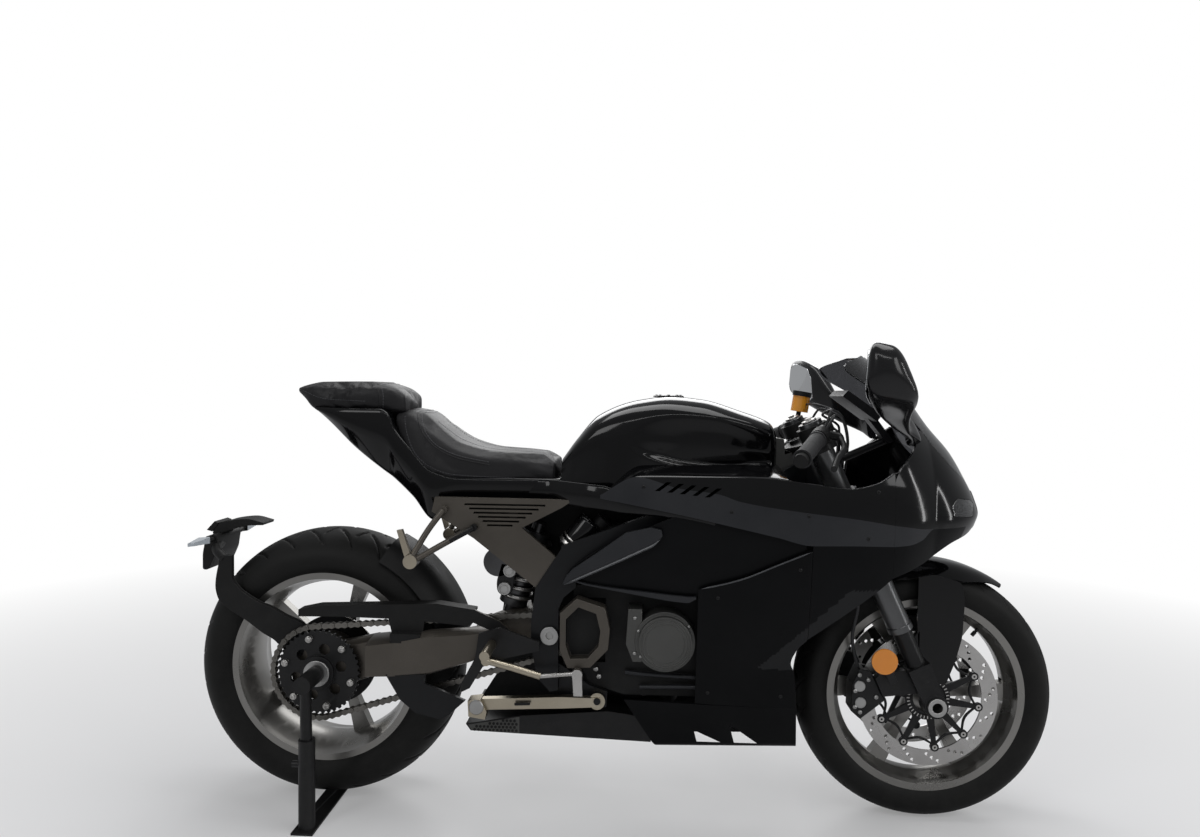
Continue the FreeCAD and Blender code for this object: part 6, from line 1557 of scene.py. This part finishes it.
class BIKE_OT_engine(bpy.types.Operator):
    """Engine, covers, radiator and silencer"""
    bl_idname = "bike.engine"
    bl_label = "Engine"

    def execute(self, context):
        machined("engine_block", "chassis", "matte_black", 2.0)
        middle = np.array((112.0, 0.0, 448.0))
        rings = [torus(middle, *sizes) for sizes in (
            (52, 1.6, -190), (57.5, 1.2, -190), (44, 1.1, -190), (46, 1.6, 182))]
        screws = [bolt(middle + (radius * math.cos(a), y, radius * math.sin(a)),
                       (0, math.copysign(1, y), 0), 3.4, 3.0)
                  for radius, y, angles in ((64.2, -175.6, (35, 158, 212)),
                                            (61, 171.6, np.arange(0, 360, 60)))
                  for a in np.radians(angles)]
        screws += [bolt((x, -134, z), (0, -1, 0), 6.0, 5.0) for x, z in ((-38, 352), (-45, 369))]
        screws += [bolt((44, -171.6, z), (0, -1, 0), 4.0, 3.4) for z in (420, 500)]
        piece("cover_rings", "chassis", rings, "dark_alloy")
        piece("cover_screws", "chassis", screws, "alloy", sharp=30)
        # The ribs below the round cover are real ridges painted in the stripe's lighter grey: a
        # painted highlight along them
        ribs = [swept(line, circle(5.0, 10)) for line in (
            [(23, -128, 362), (60, -133, 360), (243, -133, 353)],
            [(57, -128, 328), (90, -133, 331), (261, -133, 335)])]
        piece("sump_ribs", "chassis", both(ribs), "grey_panel", sharp=60)
        piece("radiator_tubes", "chassis", fin_tubes(), "radiator_black")
        grille = prism([(-347, 219), (-338, 206.5), (-225, 203.5), (-225, 241.5)], -112.6, -110.0)
        piece("silencer_grille", "chassis", [grille], "dark_alloy", edge=0.4)
        piece("silencer_openings", "chassis", mesh_holes(), "matte_black")
        # On the near cover the ring's recess face and the faces behind X = -108 are painted matte
        # black as painted shade; the rest is bronze grey
        machined("engine_covers", "chassis", ("dark_alloy", "matte_black", "bronze_grey"), 2.0,
                 pick=lambda at: np.where((at[:, 0] > 0) | (at[:, 1] > 0), 0, np.where(
                     ((np.abs(at[:, 1] + 142) < 2) & (at[:, 2] < 519)) | (at[:, 0] < -108), 1, 2)))
        shield = [(-240, 744), (-44, 744), (60, 694), (60, 240), (-340, 240), (-292, 316),
                  (-290, 395), (-215, 470), (-215, 640)]
        piece("centre_shield", "chassis", [prism(shield, -3, 3)], "matte_black", edge=1.0)
        axis = np.array((56.0, 0.0, 66.0)) / 86.6
        canister = np.array((-116.0, -108.0, 642.0))
        piece("canister", "chassis", both([rod(canister, canister + 88 * axis, 30, 40, 8.0)]),
              "gloss_black")
        piece("canister_clamps", "chassis", both(
            [rod(canister + run * axis, canister + (run + wide) * axis, 31.6, 40, 1.0)
             for run, wide in ((8, 9), (24, 4))]
            + [bolt(canister + 12 * axis + (0, -32, 0), (0, -1, 0), 4.5, 4.0)]), "bare_steel",
              sharp=40)
        machined("radiator", "chassis", "radiator_black", 1.0)
        machined("exhaust_silencer", "chassis", "black_metal", 3.0)
        return {"FINISHED"}


class BIKE_OT_frame(bpy.types.Operator):
    """Frame, subframe, swingarm and shock"""
    bl_idname = "bike.frame"
    bl_label = "Frame and arm"

    def execute(self, context):
        for name, finish, edge in (("main_frame", "satin_black", 2.0),
                                   ("subframe", "bronze_grey", 1.0),
                                   ("swingarm", "bronze_grey", 2.5), ("pivot_shaft", "alloy", 1.0),
                                   ("rear_shock", "shock_mix", 1.0)):
            machined(name, "chassis", finish, edge)
        machined("rear_lamps", "chassis", ("matte_black", "red_lens", "pale_lens"), 1.0,
                 pick=lambda at: np.where(np.abs(at[:, 1]) > 93, 2, np.where(
                     (at[:, 0] < -1016) & (np.abs(at[:, 1]) < 33), 1, 0)))
        backs = both([prism([(-400, 752), (-150, 752), (-226, 692), (-322, 684), (-396, 734)],
                            -120, -123)])
        piece("louvre_backs", "chassis", backs, "matte_black")
        knobs = [knob(-250, -121, 588, 15), knob(-262, -121, 546, 15)]
        piece("shock_knobs", "chassis", knobs, "alloy", sharp=30)
        bracket = rounded_ring([(-270, 604), (-236, 600), (-244, 536), (-262, 524), (-280, 536),
                                (-282, 560)], 10)
        piece("shock_bracket", "chassis", [prism(bracket, -104, -112)], "black_metal", edge=1.0)
        piece("shock_spring", "chassis", [coil((-250, -40, 506), (-202, -40, 654), 40, 5.0, 7)],
              "bare_steel", sharp=60)
        piece("hanger_skin", "chassis", hanger_parts(), "matte_black", ("plate_hanger",), edge=1.2,
              sharp=50)
        piece("headstock_cover", "chassis", [prism([(360, 905), (393, 900), (395, 874), (428, 866),
                                                    (434, 790), (364, 796)], -36, 36)],
              "dark_alloy", edge=3.0)
        piece("hugger_skin", "chassis", [hugger_part()], "matte_black", ("rear_hugger",), sharp=50)
        return {"FINISHED"}


class BIKE_OT_fork(bpy.types.Operator):
    """Fork, calipers, mudguard and reflectors"""
    bl_idname = "bike.fork"
    bl_label = "Fork"

    def execute(self, context):
        for name, finish, edge in (("fork_outer_tubes", "fork_grey", 1.0),
                                   ("fork_legs", "black_metal", 1.5),
                                   ("fork_clamps", "black_metal", 1.5),
                                   ("front_calipers", "black_metal", 2.0)):
            machined(name, "steering", finish, edge)
        spot = fork_point(-67, 146)[[0, 2]]
        machined("side_reflectors", "steering", ("black_metal", "orange_lens"), 0.6,
                 pick=lambda at: (np.linalg.norm(at[:, [0, 2]] - spot, axis=1) < 29.4)
                 & (np.abs(at[:, 1]) > 134.5))
        screws = [bolt(fork_point(ahead, up) + (0, -93.6, 0), (0, -1, 0), 5.0, 4.0)
                  for ahead, up in ((-160, 42), (-166, 58), (-150, 92), (-126, 122), (-112, 60),
                                    (-112, 104))]
        pistons = [rod(at - (0, 92, 0), at - (0, 96.5, 0), 13, 28, 2.0)
                   for at in (fork_point(-150, 62), fork_point(-136, 98))]
        piece("caliper_screws", "steering", both(screws + pistons), "alloy", sharp=30)
        piece("mudguard_skin", "steering", mudguard_parts(), "gloss_black", ("front_mudguard",),
              edge=0.5, sharp=50)
        return {"FINISHED"}


class BIKE_OT_controls(bpy.types.Operator):
    """Handlebars, levers, reservoir, hoses and instrument panel"""
    bl_idname = "bike.controls"
    bl_label = "Controls"

    def execute(self, context):
        for name, finish, edge in (("handlebars", "matte_black", 0.8),
                                   ("control_levers", "black_metal", 0.8),
                                   ("brake_hoses", "braided_hose", 0.0)):
            machined(name, "steering", finish, edge)
        machined("brake_reservoir", "steering", ("amber_fluid", "matte_black"), 1.0,
                 pick=lambda at: (at[:, 2] > 1005) | (at[:, 2] < 962))
        machined("instrument_panel", "chassis", "lamp_cluster", 2.0)
        piece("grips", "steering", [grip_part(RIGHT), grip_part(LEFT)], "grip_rubber", sharp=60)
        near, far = bar_point(0.30, RIGHT), bar_point(0.30, LEFT)
        cables = [
            [near + (8, 0, 16), near + (26, 14, 58), (470, -90, 962), (520, -40, 930),
             (528, -12, 860), (512, -6, 790)],
            [near + (10, 0, 10), near + (34, 20, 44), (486, -84, 942), (532, -34, 900),
             (534, -8, 840), (516, -2, 780)],
            [far + (8, 0, 16), far + (28, -16, 64), (484, 80, 984), (540, 20, 958), (552, 0, 890),
             (520, 10, 800)],
            [far + (14, 0, 4), far + (40, -20, 30), (500, 84, 944), (536, 40, 890), (520, 16, 790)],
            [bar_point(0.225, LEFT) + (34, 0, 10), (510, 110, 972), (548, 50, 950), (556, 20, 880),
             (540, 20, 770), (520, 40, 700)]]
        piece("control_cables", "steering",
              [swept(curve(line, 60), circle(2.9, 10)) for line in cables], "braided_hose",
              sharp=60)
        caps = []
        for side in SIDES:
            top = fork_point(0, FORK_LENGTH) + (0, side * FORK_SPREAD, 0)
            caps += [rod(top, top + FORK_UP * high, radius, around, edge)
                     for high, radius, around, edge in ((5, 17, 32, 1.5), (10, 8, 6, 1.0))]
        piece("fork_caps", "steering", caps, "bare_steel", sharp=30)
        return {"FINISHED"}


class BIKE_OT_rests(bpy.types.Operator):
    """Footrests, pedals and both stands"""
    bl_idname = "bike.rests"
    bl_label = "Rests and stands"

    def execute(self, context):
        machined("footrests", "chassis", ("black_metal", "bronze_grey", "champagne_leg"), 1.0,
                 pick=lambda at: np.where((np.abs(at[:, 1]) > 196) | (at[:, 0] < -462), 2,
                                          np.where(at[:, 0] < -380, 1, 0)))
        machined("foot_controls", "chassis", ("bare_steel", "champagne_leg"), 0.8,
                 pick=lambda at: at[:, 0] < -165)
        piece("stand_foot", "side_stand",
              [turned([(0.01, -166), (15, -166), (17, -168), (17, -171), (15, -173), (0.01, -173)],
                      (-316, 0, 284), 40)], "alloy")
        machined("side_stand", "side_stand", "champagne_leg", 1.5)
        slot = rounded_ring([(-228, 297), (-192, 299), (-192, 293), (-228, 291)], 2.5, 4)
        piece("stand_slot", "side_stand", [prism(slot, -168.0, -170.6)], "matte_black")
        machined("paddock_stand", "chassis", "black_metal", 1.5)
        return {"FINISHED"}


def seen_rays(tree):
    """1 for rays from the camera and through glass, and a part of that for mirrored rays."""
    path = tree.nodes.new("ShaderNodeLightPath")
    part = node(tree, "ShaderNodeMath", {1: 0.15}, operation="MULTIPLY")
    tree.links.new(path.outputs["Is Glossy Ray"], part.inputs[0])
    seen = combined(tree, "MAXIMUM", path.outputs["Is Camera Ray"],
                    path.outputs["Is Transmission Ray"])
    return combined(tree, "MAXIMUM", seen, part.outputs[0])


def shader_mix(tree, share, first, other, out):
    """Two shaders mixed by a share and led to the tree's output."""
    mix = tree.nodes.new("ShaderNodeMixShader")
    wire(tree, (share, mix.inputs[0]), (first.outputs[0], mix.inputs[1]),
         (other.outputs[0], mix.inputs[2]), (mix.outputs[0], out.inputs[0]))


def facing(right, up, back, place):
    """Matrix of an object that looks along -back from a place."""
    return Matrix([(*way, at) for way, at in zip(np.stack([right, up, back], -1), place)]
                  + [(0, 0, 0, 1)])


def floor_paint(colour):
    """Pale floor that keeps the bike's shadow and runs out to white further off."""
    material = bpy.data.materials.new("floor_paint")
    material.use_nodes = True
    tree = material.node_tree
    shader, out = tree.nodes["Principled BSDF"], tree.nodes["Material Output"]
    place = tree.nodes.new("ShaderNodeTexCoord").outputs["Object"]
    noise = node(tree, "ShaderNodeTexNoise", {"Scale": 3.0, "Detail": 4.0})
    tree.links.new(place, noise.inputs["Vector"])
    tree.links.new(ranged(tree, noise.outputs[0], 0.3, 0.7, 0.40, 0.50),
                   shader.inputs["Roughness"])
    shader.inputs["Base Color"].default_value = (*colour, 1.0)
    far = node(tree, "ShaderNodeVectorMath", operation="LENGTH")
    tree.links.new(place, far.inputs[0])
    fade = combined(tree, "MULTIPLY", ranged(tree, far.outputs["Value"], 1.1, 3.6, 0.25, 1.0),
                    seen_rays(tree))
    white = node(tree, "ShaderNodeEmission", {"Color": (1.0, 1.0, 1.0, 1.0), "Strength": 1.0})
    shader_mix(tree, fade, shader, white, out)
    return material


class BIKE_OT_stage(bpy.types.Operator):
    """Plain pale floor, soft studio light and the camera at the photograph's angle"""
    bl_idname = "bike.stage"
    bl_label = "Stage"

    def execute(self, context):
        stage = context.scene.bike_stage
        mesh = bpy.data.meshes.new("floor")
        mesh.from_pydata([(-60, -60, 0), (60, -60, 0), (60, 60, 0), (-60, 60, 0)], [],
                         [(0, 1, 2, 3)])
        floor = bpy.data.objects.new("floor", mesh)
        context.scene.collection.objects.link(floor)
        mesh.materials.append(floor_paint(stage.floor))

        world = context.scene.world or bpy.data.worlds.new("studio")
        context.scene.world = world
        world.use_nodes = True
        tree = world.node_tree
        tree.nodes.clear()
        out = tree.nodes.new("ShaderNodeOutputWorld")
        light, white = (
            node(tree, "ShaderNodeBackground", {"Color": (*colour, 1.0), "Strength": strength})
            for colour, strength in (((0.80, 0.82, 0.85), 0.30), ((1.0, 1.0, 1.0), 1.0)))
        shader_mix(tree, seen_rays(tree), light, white, out)

        # Softboxes: name, place, aim, width, height, power
        for name, place, aim, width, height, power in (
                ("overhead", (0.1, 0.2, 3.0), (0.0, 0.0, 0.5), 3.4, 1.2, 1.3),
                ("near_side", (-2.6, -3.0, 2.6), (0.0, 0.0, 0.5), 1.2, 1.6, 0.55),
                ("near_front", (2.9, -2.4, 2.2), (0.3, 0.0, 0.5), 1.0, 1.6, 0.45),
                ("far_side", (0.2, 3.4, 2.4), (0.0, 0.0, 0.7), 3.6, 1.4, 1.1),
                ("near_strip", (0.1, -2.7, 2.9), (0.0, 0.0, 0.6), 3.4, 0.14, 0.30),
                ("front_strip", (3.0, -0.9, 1.1), (0.5, 0.0, 0.7), 0.12, 1.5, 0.16)):
            lamp = bpy.data.lights.new(name, "AREA")
            lamp.shape, lamp.size, lamp.size_y = "RECTANGLE", width, height
            lamp.energy = stage.key * power
            made = bpy.data.objects.new(name, lamp)
            away = np.array(place) - np.array(aim)
            away = away / np.linalg.norm(away)
            side = np.cross((0.0, 0.0, 1.0), away)
            side = side / np.linalg.norm(side)
            up = np.cross(away, side)
            made.matrix_world = facing(side, up, away, place)
            context.scene.collection.objects.link(made)

        # Camera in the row frame: where it stands, and its turn, tilt and roll in radians
        place = np.array((0.05757, -1.96059, 1.00077))
        yaw, pitch, roll = 0.0543154, -0.0293679, 0.0110467
        ahead = np.array((-math.sin(yaw) * math.cos(pitch), math.cos(yaw) * math.cos(pitch),
                          math.sin(pitch)))
        level = np.array((math.cos(yaw), math.sin(yaw), 0.0))
        above = np.cross(level, ahead)
        right = math.cos(roll) * level + math.sin(roll) * above
        up = math.cos(roll) * above - math.sin(roll) * level
        eye = bpy.data.cameras.new("camera")
        eye.sensor_width, eye.lens = 36.0, stage.lens
        eye.clip_start, eye.clip_end = 0.01, 200.0
        camera = bpy.data.objects.new("camera", eye)
        camera.matrix_world = facing(right, up, -ahead, place)
        context.scene.collection.objects.link(camera)
        context.scene.camera = camera
        context.scene.view_settings.view_transform = "Standard"
        return {"FINISHED"}


class BIKE_PT_panel(bpy.types.Panel):
    """Lists the steps and the sizes in the 3D view's sidebar"""
    bl_idname = "BIKE_PT_panel"
    bl_label = "Sport bike"
    bl_space_type = "VIEW_3D"
    bl_region_type = "UI"
    bl_category = "Bike"

    def draw(self, context):
        for step in STEPS:
            self.layout.operator(step.bl_idname)
        for label in ("bike_bodywork", "bike_wheels", "bike_cushions", "bike_stage"):
            group = getattr(context.scene, label)
            box = self.layout.box()
            for key in group.bl_rna.properties.keys():
                if key not in ("rna_type", "name"):
                    box.prop(group, key)


GROUPS = (("bike_bodywork", BikeBodywork), ("bike_wheels", BikeWheels),
          ("bike_cushions", BikeCushions), ("bike_stage", BikeStage))
STEPS = (BIKE_OT_finishes, BIKE_OT_stage, BIKE_OT_fairing, BIKE_OT_lower_panels, BIKE_OT_tank,
         BIKE_OT_cushions, BIKE_OT_mirrors, BIKE_OT_tyres, BIKE_OT_wheels, BIKE_OT_chain,
         BIKE_OT_engine, BIKE_OT_frame, BIKE_OT_fork, BIKE_OT_controls, BIKE_OT_rests)


def register():
    for label, group in GROUPS:
        bpy.utils.register_class(group)
        setattr(bpy.types.Scene, label, PointerProperty(type=group))
    for step in STEPS + (BIKE_PT_panel,):
        bpy.utils.register_class(step)


def unregister():
    for step in (BIKE_PT_panel,) + STEPS[::-1]:
        bpy.utils.unregister_class(step)
    for label, group in GROUPS[::-1]:
        delattr(bpy.types.Scene, label)
        bpy.utils.unregister_class(group)


def main():
    """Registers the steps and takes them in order."""
    register()
    for step in STEPS:
        getattr(bpy.ops.bike, step.bl_idname.split(".")[1])()


if __name__ == "__main__":
    main()
